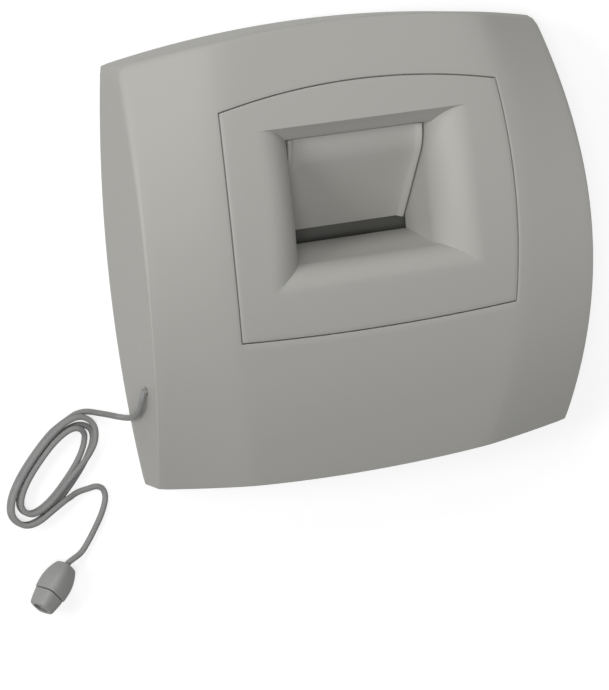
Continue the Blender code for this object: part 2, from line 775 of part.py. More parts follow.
def flap(look, parent):
    """Bent plate hung from a barrel on the axle."""
    along = (Vector(FLAP_TIP) - Vector(FLAP_BEND)).normalized()
    strip = (Vector(FLAP_BEND) - Vector(FLAP_TOP)).normalized()
    back = Vector((-along.y, along.x)) * FLAP_THICKNESS
    back_strip = Vector((-strip.y, strip.x)) * FLAP_THICKNESS
    front = [Vector(FLAP_TOP), Vector(FLAP_BEND), Vector(FLAP_TIP)]
    middle = (back + back_strip) / 2
    rear = [front[2] + back, front[1] + middle, front[0] + back_strip]
    section = front + rear
    rings = [[(x, p.x, p.y) for p in section] for x in (-FLAP_X, FLAP_X)]
    panel = ring_object("damper_flap", rings, look, parent, around=False)
    axis = (0, HINGE_Y, HINGE_Z)
    radius = BARREL_DIAMETER / 2
    barrel = turned("X", axis, ((-FLAP_X + FIT, radius), (FLAP_X - FIT, radius)))
    boolean(panel, add_cutter("flap_barrel", [(barrel, False)], parent), "UNION")
    bore = BUSH_BORE / 2
    hole = turned("X", axis, ((-CHANNEL_X, bore), (CHANNEL_X, bore)), SMALL_ROUND)
    boolean(panel, add_cutter("flap_bore", [(hole, False)], parent), "DIFFERENCE")


def axle_ends():
    left = CRANK_X - CRANK_THICKNESS / 2
    right = CHANNEL_X + FUNNEL_WALL + BUSH_FLANGE + COLLAR_LENGTH + 3 * FIT
    return left, right


def flap_axle(look, parent):
    radius = AXLE_DIAMETER / 2
    left, right = axle_ends()
    rings = turned("X", (0, HINGE_Y, HINGE_Z), ((left, radius), (right, radius)), SMALL_ROUND)
    ring_object("flap_axle", rings, look, parent, around=False)


def axle_collar(look, parent):
    """Push-on collar that keeps the axle's right end in its bush."""
    bore = BUSH_BORE / 2
    rim = bore + COLLAR_RIM
    right = axle_ends()[1]
    left = right - COLLAR_LENGTH
    profile = ((left, bore), (left, rim), (right, rim), (right, bore))
    ring_object("axle_collar", turned("X", (0, HINGE_Y, HINGE_Z), profile, SMALL_ROUND), look, parent)


def flap_bush(name, side, look):
    bore = BUSH_BORE / 2
    outer = BUSH_OUTER / 2
    rim = outer + BUSH_FLANGE_RIM
    shoulder = CHANNEL_X + FUNNEL_WALL + FIT
    end = shoulder + BUSH_FLANGE
    tip = CHANNEL_X + FIT
    profile = ((tip, bore), (tip, outer), (shoulder, outer), (shoulder, rim), (end, rim), (end, bore))
    rings = turned("X", (0, HINGE_Y, HINGE_Z), [(side * at, radius) for at, radius in profile], SMALL_ROUND)
    ring_object(name, rings, look)


def flap_crank(look, parent):
    """Arm from the axle to a peg that the carriage's ramp presses."""
    hub = Vector((HINGE_Y, HINGE_Z))
    peg = Vector((PEG_Y, PEG_Z))
    along = (peg - hub).normalized()
    across = Vector((-along.y, along.x)) * CRANK_WIDTH / 2
    start = hub + along * CRANK_HUB / 4
    end = peg + along * CRANK_WIDTH / 2
    section = [start + across, end + across, end - across, start - across]
    left = CRANK_X - CRANK_THICKNESS / 2
    right = CRANK_X + CRANK_THICKNESS / 2
    arm = ring_object("flap_crank", [[(x, p.x, p.y) for p in section] for x in (left, right)],
                      look, parent, around=False)
    inset = FIT / 2
    head = turned("X", (0, hub.x, hub.y), ((left + inset, CRANK_HUB / 2), (right - inset, CRANK_HUB / 2)))
    stud = turned("X", (0, peg.x, peg.y),
                  ((CRANK_X, PEG_DIAMETER / 2), (right + PEG_LENGTH, PEG_DIAMETER / 2)), SMALL_ROUND)
    boolean(arm, add_cutter("crank_ends", [(head, False), (stud, False)], parent), "UNION")
    bore = BUSH_BORE / 2
    hole = turned("X", (0, hub.x, hub.y), ((left - WALL, bore), (right + WALL, bore)), SMALL_ROUND)
    boolean(arm, add_cutter("crank_bore", [(hole, False)], parent), "DIFFERENCE")


def peg_drop():
    """How far the crank's peg sinks when the flap swings fully."""
    reach_y = PEG_Y - HINGE_Y
    reach_z = PEG_Z - HINGE_Z
    turned_z = reach_y * math.sin(FLAP_SWING) + reach_z * math.cos(FLAP_SWING)
    return reach_z - turned_z


def rack_outline():
    """Toothed edge of the rack from left to right, as (x, y) points towards the pinion."""
    pitch = math.pi * GEAR_MODULE
    root = RACK_PITCH_LINE + DEDENDUM * GEAR_MODULE
    tip = RACK_PITCH_LINE - ADDENDUM * GEAR_MODULE
    first = TIMER_X - 2.5 * pitch
    count = int((PULL_TRAVEL + 5 * pitch) / pitch)
    points = []
    for k in range(count):
        middle = first + k * pitch
        points += [
            (middle - TOOTH_ROOT_SHARE * pitch, root),
            (middle - TOOTH_TIP_SHARE * pitch, tip),
            (middle + TOOTH_TIP_SHARE * pitch, tip),
            (middle + TOOTH_ROOT_SHARE * pitch, root),
        ]
    return points


def carriage(look, parent):
    """Sliding block: a foot in the track, a head for the cord, a ramp for the crank and a rack."""
    foot_low = FOOT_Y - FOOT_WIDTH / 2
    foot_high = FOOT_Y + FOOT_WIDTH / 2
    foot = box_rings((CARRIAGE_LEFT, foot_low, TRACK_TOP + SLIDE_FIT),
                     (CARRIAGE_RIGHT, foot_high, FOOT_TOP))
    block = ring_object("pull_carriage", foot, look, parent, around=False, smooth=False)

    head_right = CARRIAGE_LEFT + HEAD_LENGTH
    head = box_rings((CARRIAGE_LEFT, foot_low, FOOT_TOP - FIT), (head_right, CORD_Y + HEAD_SIDE, HEAD_TOP))

    peg_end = CRANK_X + CRANK_THICKNESS / 2 + PEG_LENGTH
    contact = PEG_Z + PEG_DIAMETER / 2 + SLIDE_FIT
    fall = peg_drop() / PULL_TRAVEL
    x0 = peg_end - RAMP_LEAD
    x1 = peg_end + PULL_TRAVEL + RAMP_LEAD
    ramp_y = (foot_high - FOOT_WIDTH / 4, PEG_Y + RAMP_REACH)

    def ramp_section(x):
        low = contact - fall * (x - peg_end)
        return [(x, ramp_y[0], low), (x, ramp_y[1], low),
                (x, ramp_y[1], low + RAMP_THICKNESS), (x, ramp_y[0], low + RAMP_THICKNESS)]

    ramp = [ramp_section(x0), ramp_section(x1)]

    teeth = rack_outline()
    back = RACK_PITCH_LINE + DEDENDUM * GEAR_MODULE + RACK_BACK
    outline = [(teeth[0][0], back)] + teeth + [(teeth[-1][0], back)]
    bar = [[(x, y, z) for x, y in outline] for z in (RACK_Z, RACK_Z + RACK_HEIGHT)]
    web = box_rings((teeth[0][0] + FIT, back - RACK_BACK / 2, RACK_Z + FIT),
                    (CARRIAGE_RIGHT - FIT, foot_low + FOOT_WIDTH / 4, RACK_Z + RACK_HEIGHT - FIT))
    for name, rings in (("carriage_head", head), ("carriage_ramp", ramp),
                        ("carriage_rack", bar), ("carriage_web", web)):
        boolean(block, add_cutter(name, [(rings, False)], parent), "UNION")

    pocket_x = CARRIAGE_LEFT + POCKET_WALL
    reach = KNOT_DIAMETER / 2 + SLIDE_FIT
    pocket = box_rings((pocket_x, CORD_Y - reach, CORD_Z - reach),
                       (pocket_x + 2 * reach, CORD_Y + reach, HEAD_TOP + POCKET_WALL))
    bore = CORD_BORE / 2
    hole = turned("X", (0, CORD_Y, CORD_Z),
                  ((CARRIAGE_LEFT - WALL, bore), (pocket_x + reach, bore)), SMALL_ROUND)
    stub = SPRING_WIRE / 2 + FIT
    hook = turned("X", (0, FOOT_Y, SPRING_Z),
                  ((CARRIAGE_RIGHT - SPRING_STUB - FIT, stub), (CARRIAGE_RIGHT + WALL, stub)), SMALL_ROUND)
    for name, rings in (("carriage_pocket", pocket), ("carriage_bore", hole), ("carriage_hook", hook)):
        boolean(block, add_cutter(name, [(rings, False)], parent), "DIFFERENCE")


def ball_rings(centre, direction, radius):
    """Rings of a ball along a direction, for a knot."""
    steps = 7
    turn = Vector((0, 0, 1)).rotation_difference(Vector(direction)).to_matrix()
    rings = []
    for k in range(steps):
        angle = math.pi * (k + 0.5) / steps
        ring = circle("Z", (0, 0, -radius * math.cos(angle)), radius * math.sin(angle), SMALL_ROUND)
        rings.append([Vector(centre) + turn @ point for point in ring])
    return rings


def knot_x():
    return CARRIAGE_LEFT + POCKET_WALL + SLIDE_FIT + KNOT_DIAMETER / 2


def carriage_knot(look, parent):
    rings = ball_rings((knot_x(), CORD_Y, CORD_Z), (1, 0, 0), KNOT_DIAMETER / 2)
    ring_object("carriage_knot", rings, look, parent, around=False)


def carriage_track(look):
    """Low channel on the back plate that guides the carriage's foot."""
    top = TRACK_TOP + TRACK_LIP
    right = [(TRACK_OUTER, FLOOR_Z), (TRACK_OUTER, top), (TRACK_INNER, top), (TRACK_INNER, TRACK_TOP)]
    section = right + [(-y, z) for y, z in reversed(right)]
    rings = [[(x, FOOT_Y + y, z) for y, z in section] for x in (TRACK_LEFT, TRACK_RIGHT)]
    ring_object("carriage_track", rings, look, around=False, smooth=False)


def gear_rings(centre, z, height, teeth, phase):
    """Rings of a spur gear with a plain bore, one tooth centred on the phase angle."""
    radius = teeth * GEAR_MODULE / 2
    root = radius - DEDENDUM * GEAR_MODULE
    tip = radius + ADDENDUM * GEAR_MODULE
    step = math.tau / teeth
    bore = ARBOR_DIAMETER / 2 + FIT
    outline = []
    for k in range(teeth):
        middle = phase + k * step
        outline += [
            (middle - TOOTH_ROOT_SHARE * step, root),
            (middle - TOOTH_TIP_SHARE * step, tip),
            (middle + TOOTH_TIP_SHARE * step, tip),
            (middle + TOOTH_ROOT_SHARE * step, root),
        ]

    def ring(level, radius_of):
        return [(centre[0] + radius_of(r) * math.cos(a), centre[1] + radius_of(r) * math.sin(a), level)
                for a, r in outline]

    return [ring(z, lambda r: bore), ring(z, lambda r: r),
            ring(z + height, lambda r: r), ring(z + height, lambda r: bore)]


def timer_train(looks, parent):
    """Arbor with the pinion on the rack and the wheel that drives the governor."""
    centre = (TIMER_X, TIMER_Y)
    arbor("timer_arbor", centre, looks["steel"], parent)
    wheel = gear_rings(centre, WHEEL_Z, WHEEL_THICKNESS, WHEEL_TEETH, GOVERNOR_ANGLE)
    ring_object("timer_wheel", wheel, looks["nylon"], parent, smooth=False)
    pinion_z = WHEEL_Z + WHEEL_THICKNESS + FIT
    pinion = gear_rings(centre, pinion_z, PINION_HEIGHT, PINION_TEETH, math.pi / 2)
    ring_object("timer_pinion", pinion, looks["nylon"], parent, smooth=False)


def governor_train(looks, parent):
    """Arbor with the fast pinion and the brake drum."""
    centre = (GOVERNOR_X, GOVERNOR_Y)
    arbor("governor_arbor", centre, looks["steel"], parent)
    half_step = math.pi / GOVERNOR_TEETH
    pinion = gear_rings(centre, WHEEL_Z, WHEEL_THICKNESS + FIT, GOVERNOR_TEETH,
                        GOVERNOR_ANGLE + math.pi + half_step)
    ring_object("governor_pinion", pinion, looks["nylon"], parent, smooth=False)
    bore = ARBOR_DIAMETER / 2 + FIT
    low = WHEEL_Z + WHEEL_THICKNESS + 2 * FIT
    high = low + DRUM_HEIGHT
    profile = ((low, bore), (low, DRUM_DIAMETER / 2), (high, DRUM_DIAMETER / 2), (high, bore))
    ring_object("governor_drum", turned("Z", (*centre, 0), profile), looks["brass"], parent)


def arbor(name, centre, look, parent):
    radius = ARBOR_DIAMETER / 2
    profile = ((FLOOR_Z, radius), (BRIDGE_Z + FRAME_PLATE, radius))
    ring_object(name, turned("Z", (*centre, 0), profile, SMALL_ROUND), look, parent, around=False)


def frame_outline():
    xs = [x for x, _ in PILLARS]
    ys = [y for _, y in PILLARS]
    top = max(max(ys), TIMER_Y) + FRAME_MARGIN
    return min(xs) - FRAME_MARGIN, min(ys) - FRAME_MARGIN, max(xs) + FRAME_MARGIN, top


def timer_plate(name, z, look):
    """Flat plate, cut off at the casing's corner, with holes for two arbors and three pillar screws."""
    x0, y0, x1, y1 = frame_outline()
    outline = ((x0 + FRAME_CUT, y0), (x1, y0), (x1, y1), (x0, y1), (x0, y0 + FRAME_CUT))
    rings = [[Vector((x, y, level)) for x, y in outline] for level in (z, z + FRAME_PLATE)]
    plate = ring_object(name, rings, look, around=False, smooth=False)
    holes = []
    places = [((TIMER_X, TIMER_Y), ARBOR_DIAMETER), ((GOVERNOR_X, GOVERNOR_Y), ARBOR_DIAMETER)]
    places += [(place, BRIDGE_SCREW_DIAMETER) for place in PILLARS]
    for centre, size in places:
        radius = size / 2 + FIT
        profile = ((z - FRAME_PLATE, radius), (z + 2 * FRAME_PLATE, radius))
        holes.append((turned("Z", (*centre, 0), profile, SMALL_ROUND), False))
    boolean(plate, add_cutter(name + "_holes", holes), "DIFFERENCE")


def timer_frame(looks):
    timer_plate("timer_base", FLOOR_Z, looks["steel_sheet"])
    timer_plate("timer_bridge", BRIDGE_Z, looks["steel_sheet"])
    low = FLOOR_Z + FRAME_PLATE + FIT
    high = BRIDGE_Z - FIT
    bore = BRIDGE_SCREW_DIAMETER / 2 + FIT
    rim = PILLAR_DIAMETER / 2
    head_top = BRIDGE_Z + FRAME_PLATE + FIT + BRIDGE_SCREW_HEAD_HEIGHT
    for k, (x, y) in enumerate(PILLARS):
        profile = ((low, bore), (low, rim), (high, rim), (high, bore))
        ring_object(f"timer_pillar_{k + 1}", turned("Z", (x, y, 0), profile, SMALL_ROUND), looks["brass"])
        rings = screw_rings(x, y, head_top, BRIDGE_SCREW_HEAD_HEIGHT, BRIDGE_SCREW_HEAD,
                            BRIDGE_SCREW_DIAMETER, BRIDGE_SCREW_LENGTH, False)
        ring_object(f"bridge_screw_{k + 1}", rings, looks["steel"], around=False)


def spring_post(look):
    radius = POST_DIAMETER / 2
    rings = turned("Z", (POST_X, FOOT_Y, 0), ((FLOOR_Z, radius), (POST_TOP, radius)), SMALL_ROUND)
    post = ring_object("spring_post", rings, look, around=False)
    stub = SPRING_WIRE / 2 + FIT
    hole = turned("X", (POST_X, FOOT_Y, SPRING_Z), ((-POST_DIAMETER, stub), (0, stub)), SMALL_ROUND)
    boolean(post, add_cutter("post_hole", [(hole, False)]), "DIFFERENCE")


def tube(name, points, diameter, sides_step, look, parent=None):
    """Round tube along points, as a curve with filled ends."""
    curve = bpy.data.curves.new(name, "CURVE")
    curve.dimensions = "3D"
    curve.bevel_depth = diameter / 2
    curve.bevel_resolution = sides_step
    curve.use_fill_caps = True
    spline = curve.splines.new("POLY")
    spline.points.add(len(points) - 1)
    origin = Vector(parent.location) if parent else Vector()
    for knot, point in zip(spline.points, points):
        knot.co = (*(Vector(point) - origin), 1.0)
    return place_object(name, curve, look, parent)


def least_gap(points, diameter, skip):
    """Least clear gap of a tube to itself, leaving out points nearer along it than skip."""
    dense = []
    for a, b in zip(points[:-1], points[1:]):
        dense += [Vector(a).lerp(Vector(b), k / 4) for k in range(4)]
    spots = np.array(dense)
    length = np.concatenate(([0], np.cumsum(np.linalg.norm(np.diff(spots, axis=0), axis=1))))
    apart = np.linalg.norm(spots[:, None] - spots[None], axis=2)
    far = np.abs(length[:, None] - length[None]) > skip
    return apart[far].min() - diameter


def return_spring(look):
    """Extension spring from the carriage to the post, with a straight stub at each end."""
    radius = (SPRING_DIAMETER - SPRING_WIRE) / 2
    left = CARRIAGE_RIGHT + SPRING_WIRE
    right = POST_X - POST_DIAMETER / 2 - SPRING_WIRE
    per_turn = 8
    points = [(CARRIAGE_RIGHT - SPRING_STUB, FOOT_Y, SPRING_Z), (left, FOOT_Y, SPRING_Z)]
    count = SPRING_TURNS * per_turn
    for k in range(count + 1):
        angle = math.tau * k / per_turn
        ease = min(1, 4 * k / count, 4 * (count - k) / count)
        reach = radius * max(ease, 0.0) ** 0.25
        x = left + (right - left) * (k + 1) / (count + 2)
        points.append((x, FOOT_Y + reach * math.cos(angle), SPRING_Z + reach * math.sin(angle)))
    points += [(right, FOOT_Y, SPRING_Z), (POST_X - FIT, FOOT_Y, SPRING_Z)]
    print("return_spring least gap mm", round(1000 * least_gap(points, SPRING_WIRE, SPRING_DIAMETER), 2))
    tube("return_spring", points, SPRING_WIRE, 0, look)


def cord_bush(look):
    """Flanged eyelet in the left wall that the cord runs through."""
    bore = CORD_BORE / 2
    outer = bore + CORD_BUSH_WALL
    rim = outer + CORD_BUSH_RIM
    face = -outline_x(CORD_Y, DRAFT * CORD_Z)
    tip = face - CORD_BUSH_PROUD
    shoulder = face + WALL + 3 * FIT
    end = shoulder + CORD_BUSH_FLANGE
    profile = ((tip, bore + CORD_BUSH_FLARE), (tip, outer), (shoulder, outer), (shoulder, rim),
               (end, rim), (end, bore), (tip + 2 * CORD_BUSH_FLARE, bore))
    ring_object("cord_bush", turned("X", (0, CORD_Y, CORD_Z), profile, SMALL_ROUND), look)
    return tip


def smooth_route(route, step):
    """Points at even steps along a Catmull-Rom curve through a route."""
    ends = [2 * route[0] - route[1]] + route + [2 * route[-1] - route[-2]]
    fine = []
    for p0, p1, p2, p3 in zip(ends[:-3], ends[1:-2], ends[2:-1], ends[3:]):
        for k in range(24):
            t = k / 24
            fine.append(0.5 * (2 * p1 + (p2 - p0) * t + (2 * p0 - 5 * p1 + 4 * p2 - p3) * t ** 2
                               + (3 * p1 - p0 - 3 * p2 + p3) * t ** 3))
    fine.append(route[-1])
    fine = np.array(fine)
    along = np.concatenate(([0], np.cumsum(np.linalg.norm(np.diff(fine, axis=0), axis=1))))
    count = max(2, round(along[-1] / step))
    at = np.linspace(0, along[-1], count + 1)
    return [Vector((np.interp(s, along, fine[:, k]) for k in range(3))) for s in at]


def coil_place(turns):
    """Point of the coil after a number of turns. The strand lies in two columns and two layers."""
    column = 0.0
    layer = 0.0
    for start, end, inward, upward in COIL_MOVES:
        share = min(max((turns - start) / (end - start), 0), 1)
        share = share * share * (3 - 2 * share)
        column += inward * share
        layer += upward * share
    angle = COIL_START + math.tau * turns
    a = COIL_LENGTH / 2 - COIL_LENGTH_STEP * column
    b = COIL_WIDTH / 2 - COIL_STEP * column
    c = math.cos(angle)
    s = math.sin(angle)
    p = math.copysign(a * abs(c) ** (2 / COIL_ROUNDNESS), c)
    q = math.copysign(b * abs(s) ** (2 / COIL_ROUNDNESS), s)
    x = COIL_X + p * math.cos(COIL_TURN) - q * math.sin(COIL_TURN)
    y = COIL_Y + p * math.sin(COIL_TURN) + q * math.cos(COIL_TURN)
    return Vector((x, y, COIL_Z + COIL_STEP * layer))


def coil_points():
    count = round(COIL_TURNS * COIL_POINTS)
    return [coil_place(COIL_TURNS * k / count) for k in range(count + 1)]


def knob_frame():
    """Matrix that stands the knob's own +Z along its axis, from the cord's entry to its raised end."""
    flat = Vector((math.cos(KNOB_HEADING), math.sin(KNOB_HEADING), 0))
    rise = Vector((0, 0, 1))
    heading = flat * math.cos(KNOB_TILT) + rise * math.sin(KNOB_TILT)
    up = rise * math.cos(KNOB_TILT) - flat * math.sin(KNOB_TILT)
    turn = Matrix((up, heading.cross(up), heading)).transposed().to_4x4()
    stations = [KNOB_LENGTH * k / SMALL_ROUND for k in range(SMALL_ROUND + 1)]
    lowest = min(point.z for z in stations for point in knob_section(knob_half(z), z, turn))
    return Matrix.Translation((KNOB_X, KNOB_Y, TABLE_LIFT - lowest)) @ turn


def knob_section(half, z, frame, count=SMALL_ROUND):
    """Rounded square ring of the knob, rolled about its axis."""
    points = []
    power = KNOB_SQUARENESS
    for k in range(count):
        angle = math.tau * k / count
        c = abs(math.cos(angle))
        s = abs(math.sin(angle))
        radius = half / (c ** power + s ** power) ** (1 / power)
        turn = angle + KNOB_ROLL
        points.append(frame @ Vector((radius * math.cos(turn), radius * math.sin(turn), z)))
    return points


def knob_round(radius, z, frame, count=SMALL_ROUND):
    return [frame @ Vector((radius * math.cos(math.tau * k / count + KNOB_ROLL),
                            radius * math.sin(math.tau * k / count + KNOB_ROLL), z)) for k in range(count)]


def knob_half(z):
    """Half width of the knob along its length: a barrel that is widest above its middle."""
    end = KNOB_TOP_WIDTH if z < KNOB_WIDEST else KNOB_END_WIDTH
    span = KNOB_WIDEST if z < KNOB_WIDEST else KNOB_LENGTH - KNOB_WIDEST
    share = (z - KNOB_WIDEST) / span
    return (KNOB_WIDTH - (KNOB_WIDTH - end) * share ** 2) / 2


def pull_knob(look, parent):
    """Barrel body and end cap. The cord enters the neck and is knotted in the cavity."""
    frame = knob_frame()
    bore = CORD_BORE / 2
    cavity = KNOB_CAVITY / 2
    body_steps = [KNOB_SEAM * k / 5 for k in range(6)]
    body = [knob_section(knob_half(z), z, frame) for z in body_steps]
    inner = [knob_round(cavity, KNOB_SEAM, frame), knob_round(cavity, KNOB_NECK, frame),
             knob_round(bore, KNOB_NECK, frame), knob_round(bore, 0, frame)]
    ring_object("knob_body", body + inner, look, parent)
    low = KNOB_SEAM + FIT
    cap_steps = [low + (KNOB_LENGTH - low) * k / 4 for k in range(5)]
    cap = [knob_section(knob_half(z) - KNOB_STEP, z, frame) for z in cap_steps]
    mouth = KNOB_MOUTH / 2
    inner = [knob_round(mouth, KNOB_LENGTH, frame), knob_round(mouth, low, frame)]
    ring_object("knob_cap", cap + inner, look, parent)
    return frame


def knot_station():
    return KNOB_NECK + SLIDE_FIT + KNOT_DIAMETER / 2


def cords(looks, parent, exit_x, frame):
    """Lead from the carriage's knot to the coil, the coil, and the tail to the knob's knot."""
    look = looks["cord"]
    coil = coil_points()
    print("cord_coil least gap mm", round(1000 * least_gap(coil, CORD_DIAMETER, 4 * CORD_DIAMETER), 2))
    tube("cord_coil", coil, CORD_DIAMETER, 1, look, parent)

    into = (coil[1] - coil[0]).normalized() * FIT
    start = Vector((knot_x() - KNOT_DIAMETER / 2 - FIT, CORD_Y, CORD_Z))
    straight = [Vector((x, CORD_Y, CORD_Z)) for x in (exit_x + ROUTE_STEP, exit_x)]
    lead = [start] + straight + [Vector(p) for p in LEAD_ROUTE] + [coil[0] - into]
    tube("cord_lead", smooth_route(lead, ROUTE_STEP), CORD_DIAMETER, 2, look, parent)

    away = (coil[-1] - coil[-2]).normalized() * FIT
    entry = [frame @ Vector((0, 0, z)) for z in (-KNOB_APPROACH, 0)]
    stop = frame @ Vector((0, 0, knot_station() - KNOT_DIAMETER / 2 - FIT))
    tail = [coil[-1] + away] + [Vector(p) for p in TAIL_ROUTE] + entry + [stop]
    tube("cord_tail", smooth_route(tail, ROUTE_STEP), CORD_DIAMETER, 2, look, parent)

    centre = frame @ Vector((0, 0, knot_station()))
    axis = frame.to_3x3() @ Vector((0, 0, 1))
    ring_object("knob_knot", ball_rings(centre, axis, KNOT_DIAMETER / 2), look, parent, around=False)


def main():
    clear_scene()
    looks = {
        "casing": material("casing_grey", (0.36, 0.355, 0.33), 0.55),
        "inner": material("inner_grey", (0.30, 0.30, 0.29), 0.6),
        "rubber": material("gasket_foam", (0.03, 0.03, 0.03), 0.9),
        "steel": material("bright_steel", (0.6, 0.6, 0.6), 0.3, 1.0),
        "steel_sheet": material("zinc_sheet", (0.5, 0.5, 0.48), 0.4, 1.0),
        "brass": material("brass", (0.6, 0.45, 0.2), 0.35, 1.0),
        "nylon": material("white_nylon", (0.75, 0.74, 0.7), 0.5),
        "cord": material("cord_grey", (0.22, 0.22, 0.215), 0.8),
        "knob": material("knob_grey", (0.27, 0.27, 0.265), 0.5),
    }
    damper = pivot("damper_axis", (0, HINGE_Y, HINGE_Z))
    pull = pivot("pull_axis", (CARRIAGE_LEFT, CORD_Y, CORD_Z))
    timer = pivot("timer_axis", (TIMER_X, TIMER_Y, WHEEL_Z))
    governor = pivot("governor_axis", (GOVERNOR_X, GOVERNOR_Y, WHEEL_Z))

    front_cover(looks["casing"])
    grille_insert(looks["casing"])
    back_plate(looks["inner"])
    wall_gasket(looks["rubber"])
    cover_screws(looks["steel"])
    air_box(looks["inner"])
    exit_x = cord_bush(looks["casing"])
    for name, side in (("flap_bush_left", -1), ("flap_bush_right", 1)):
        flap_bush(name, side, looks["nylon"])
    flap(looks["casing"], damper)
    flap_axle(looks["steel"], damper)
    axle_collar(looks["nylon"], damper)
    flap_crank(looks["nylon"], damper)
    carriage_track(looks["inner"])
    carriage(looks["nylon"], pull)
    carriage_knot(looks["cord"], pull)
    timer_frame(looks)
    timer_train(looks, timer)
    governor_train(looks, governor)
    spring_post(looks["steel"])
    return_spring(looks["steel"])
    frame = pull_knob(looks["knob"], pull)
    cords(looks, pull, exit_x, frame)


main()
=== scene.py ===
"""Looks of a wall mounted air extract terminal with a pull cord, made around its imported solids."""
import math

import bmesh
import bpy
import numpy as np
from mathutils import Matrix, Vector


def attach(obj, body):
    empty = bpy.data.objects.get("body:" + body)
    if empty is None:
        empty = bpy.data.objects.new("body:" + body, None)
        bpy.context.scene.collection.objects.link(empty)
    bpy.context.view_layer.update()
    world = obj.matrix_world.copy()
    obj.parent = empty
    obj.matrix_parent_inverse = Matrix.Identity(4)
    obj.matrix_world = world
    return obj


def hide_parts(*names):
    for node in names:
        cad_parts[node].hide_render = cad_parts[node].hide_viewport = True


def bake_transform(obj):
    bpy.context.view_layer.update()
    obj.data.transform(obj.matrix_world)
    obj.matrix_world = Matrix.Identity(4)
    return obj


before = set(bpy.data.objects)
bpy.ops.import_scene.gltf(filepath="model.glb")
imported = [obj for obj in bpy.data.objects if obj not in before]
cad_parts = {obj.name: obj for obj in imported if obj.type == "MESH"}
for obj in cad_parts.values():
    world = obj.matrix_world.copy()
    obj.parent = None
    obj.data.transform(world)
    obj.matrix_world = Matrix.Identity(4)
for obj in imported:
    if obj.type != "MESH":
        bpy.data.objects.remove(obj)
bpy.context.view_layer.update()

# Camera, from a fit of the casing's outline
FOCAL_PIXELS = 3330.68
IMAGE_HEIGHT = 690
SENSOR_MM = 36.0
CAMERA_YAW = math.radians(22.41408)
CAMERA_PITCH = math.radians(8.25211)
CAMERA_ROLL = math.radians(5.69257)
CAMERA_PLACE = (-0.01067967, -0.03911613, 1.316768)
CAMERA_CLIP = (0.05, 20.0)

# Fits
FIT = 0.0003
SLIDE_FIT = 0.0004

# Casing, with the sizes of the solids
HALF_WIDTH = 0.094
HALF_HEIGHT = 0.0903
SIDE_BULGE = 0.0056
END_BULGE = 0.0086
BOTTOM_FLATNESS = 0.0024
CORNER_X = HALF_WIDTH - SIDE_BULGE
CORNER_Y = HALF_HEIGHT - END_BULGE
DRAFT = 0.001
WALL = 0.0022
CROWN_Z = 0.04705
CROWN_Y = 0.017
BAND_RADIUS = 0.201
WING_Z = 0.0430
WING_Y = 0.004
WING_RADIUS = 0.133
CREASE_X = 0.063
CREASE_Y = 0.015
CREASE_RADIUS = 0.432
# The crease gets softer upwards: its softness at both ends of a span in Y
CREASE_SOFTNESS = (0.003, 0.0065)
CREASE_SPAN = (-0.03, 0.06)
BOSS_X = 0.0785
BOSS_Y = 0.060
BOSS_DIAMETER = 0.0075
BOSS_PLACES = [(x, y) for x in (-BOSS_X, BOSS_X) for y in (-BOSS_Y, BOSS_Y)]

# Opening, insert and funnel
OPENING_X = 0.06005
OPENING_MID_Y = 0.016
OPENING_SIDE_RADIUS = 0.58
OPENING_TOP = 0.0675
OPENING_TOP_RADIUS = 0.266
OPENING_BOTTOM = -0.0288
OPENING_BOTTOM_RADIUS = 0.9
LEDGE_WIDTH = 0.003
LEDGE_THICKNESS = 0.0018
LEDGE_ROOT = 0.002
INSERT_GAP = 0.00045
PANEL_THICKNESS = 0.0022
MOUTH_X = 0.044
MOUTH_TOP = 0.0525
MOUTH_BOTTOM = -0.0095
FUNNEL_WALL = 0.002
SIDE_ROLL = (0.015, 0.014)
BOTTOM_ROLL = (0.009, 0.010)
TOP_ROLL = (0.0052, 0.006)
FLOOR_SLOPE = 0.168
CHANNEL_END_Z = 0.0088
FUNNEL_FRONT_Z = CROWN_Z - (MOUTH_BOTTOM - CROWN_Y) ** 2 / (2 * BAND_RADIUS)
CHANNEL_X = MOUTH_X - SIDE_ROLL[0]

# Damper
HINGE_Y = 0.044
HINGE_DEPTH = 0.0165
HINGE_Z = FUNNEL_FRONT_Z - HINGE_DEPTH
FLAP_TOP = Vector((HINGE_Y + 0.0028, HINGE_Z + 0.0046))
FLAP_BEND = Vector((HINGE_Y - 0.0041, HINGE_Z + 0.0039))
FLAP_TIP = Vector((0.0094, 0.0079))
FLAP_BEND_REACH = 0.0052
FLAP_THICKNESS = 0.002
FLAP_GAP = 0.0006
FLAP_X = CHANNEL_X - FLAP_GAP
BARREL_DIAMETER = 0.0058
BUSH_BORE = 0.0036
BUSH_OUTER = 0.0058

# Back plate and its foam ring
PLATE_THICKNESS = 0.003
DUCT_Y = 0.015
DUCT_RADIUS = 0.038
DUCT_SIDES = 160
GASKET_WIDTH = 0.005
GASKET_DEPTH = 0.0018
GASKET_OFFSET = 0.003
GASKET_ROUNDNESS = 0.4
KEYHOLE_X = 0.0685
KEYHOLE_YS = (-0.0665, 0.074)
KEYHOLE_SLOT = 0.0046
KEYHOLE_HEAD = 0.0085
KEYHOLE_DROP = 0.008
COVER_SCREW_DIAMETER = 0.003
COVER_SCREW_LENGTH = 0.012
COVER_SCREW_HEAD = 0.0056
COVER_SCREW_HEAD_HEIGHT = 0.0014
COVER_SCREW_TURN = (0.0, 0.0, 0.4)

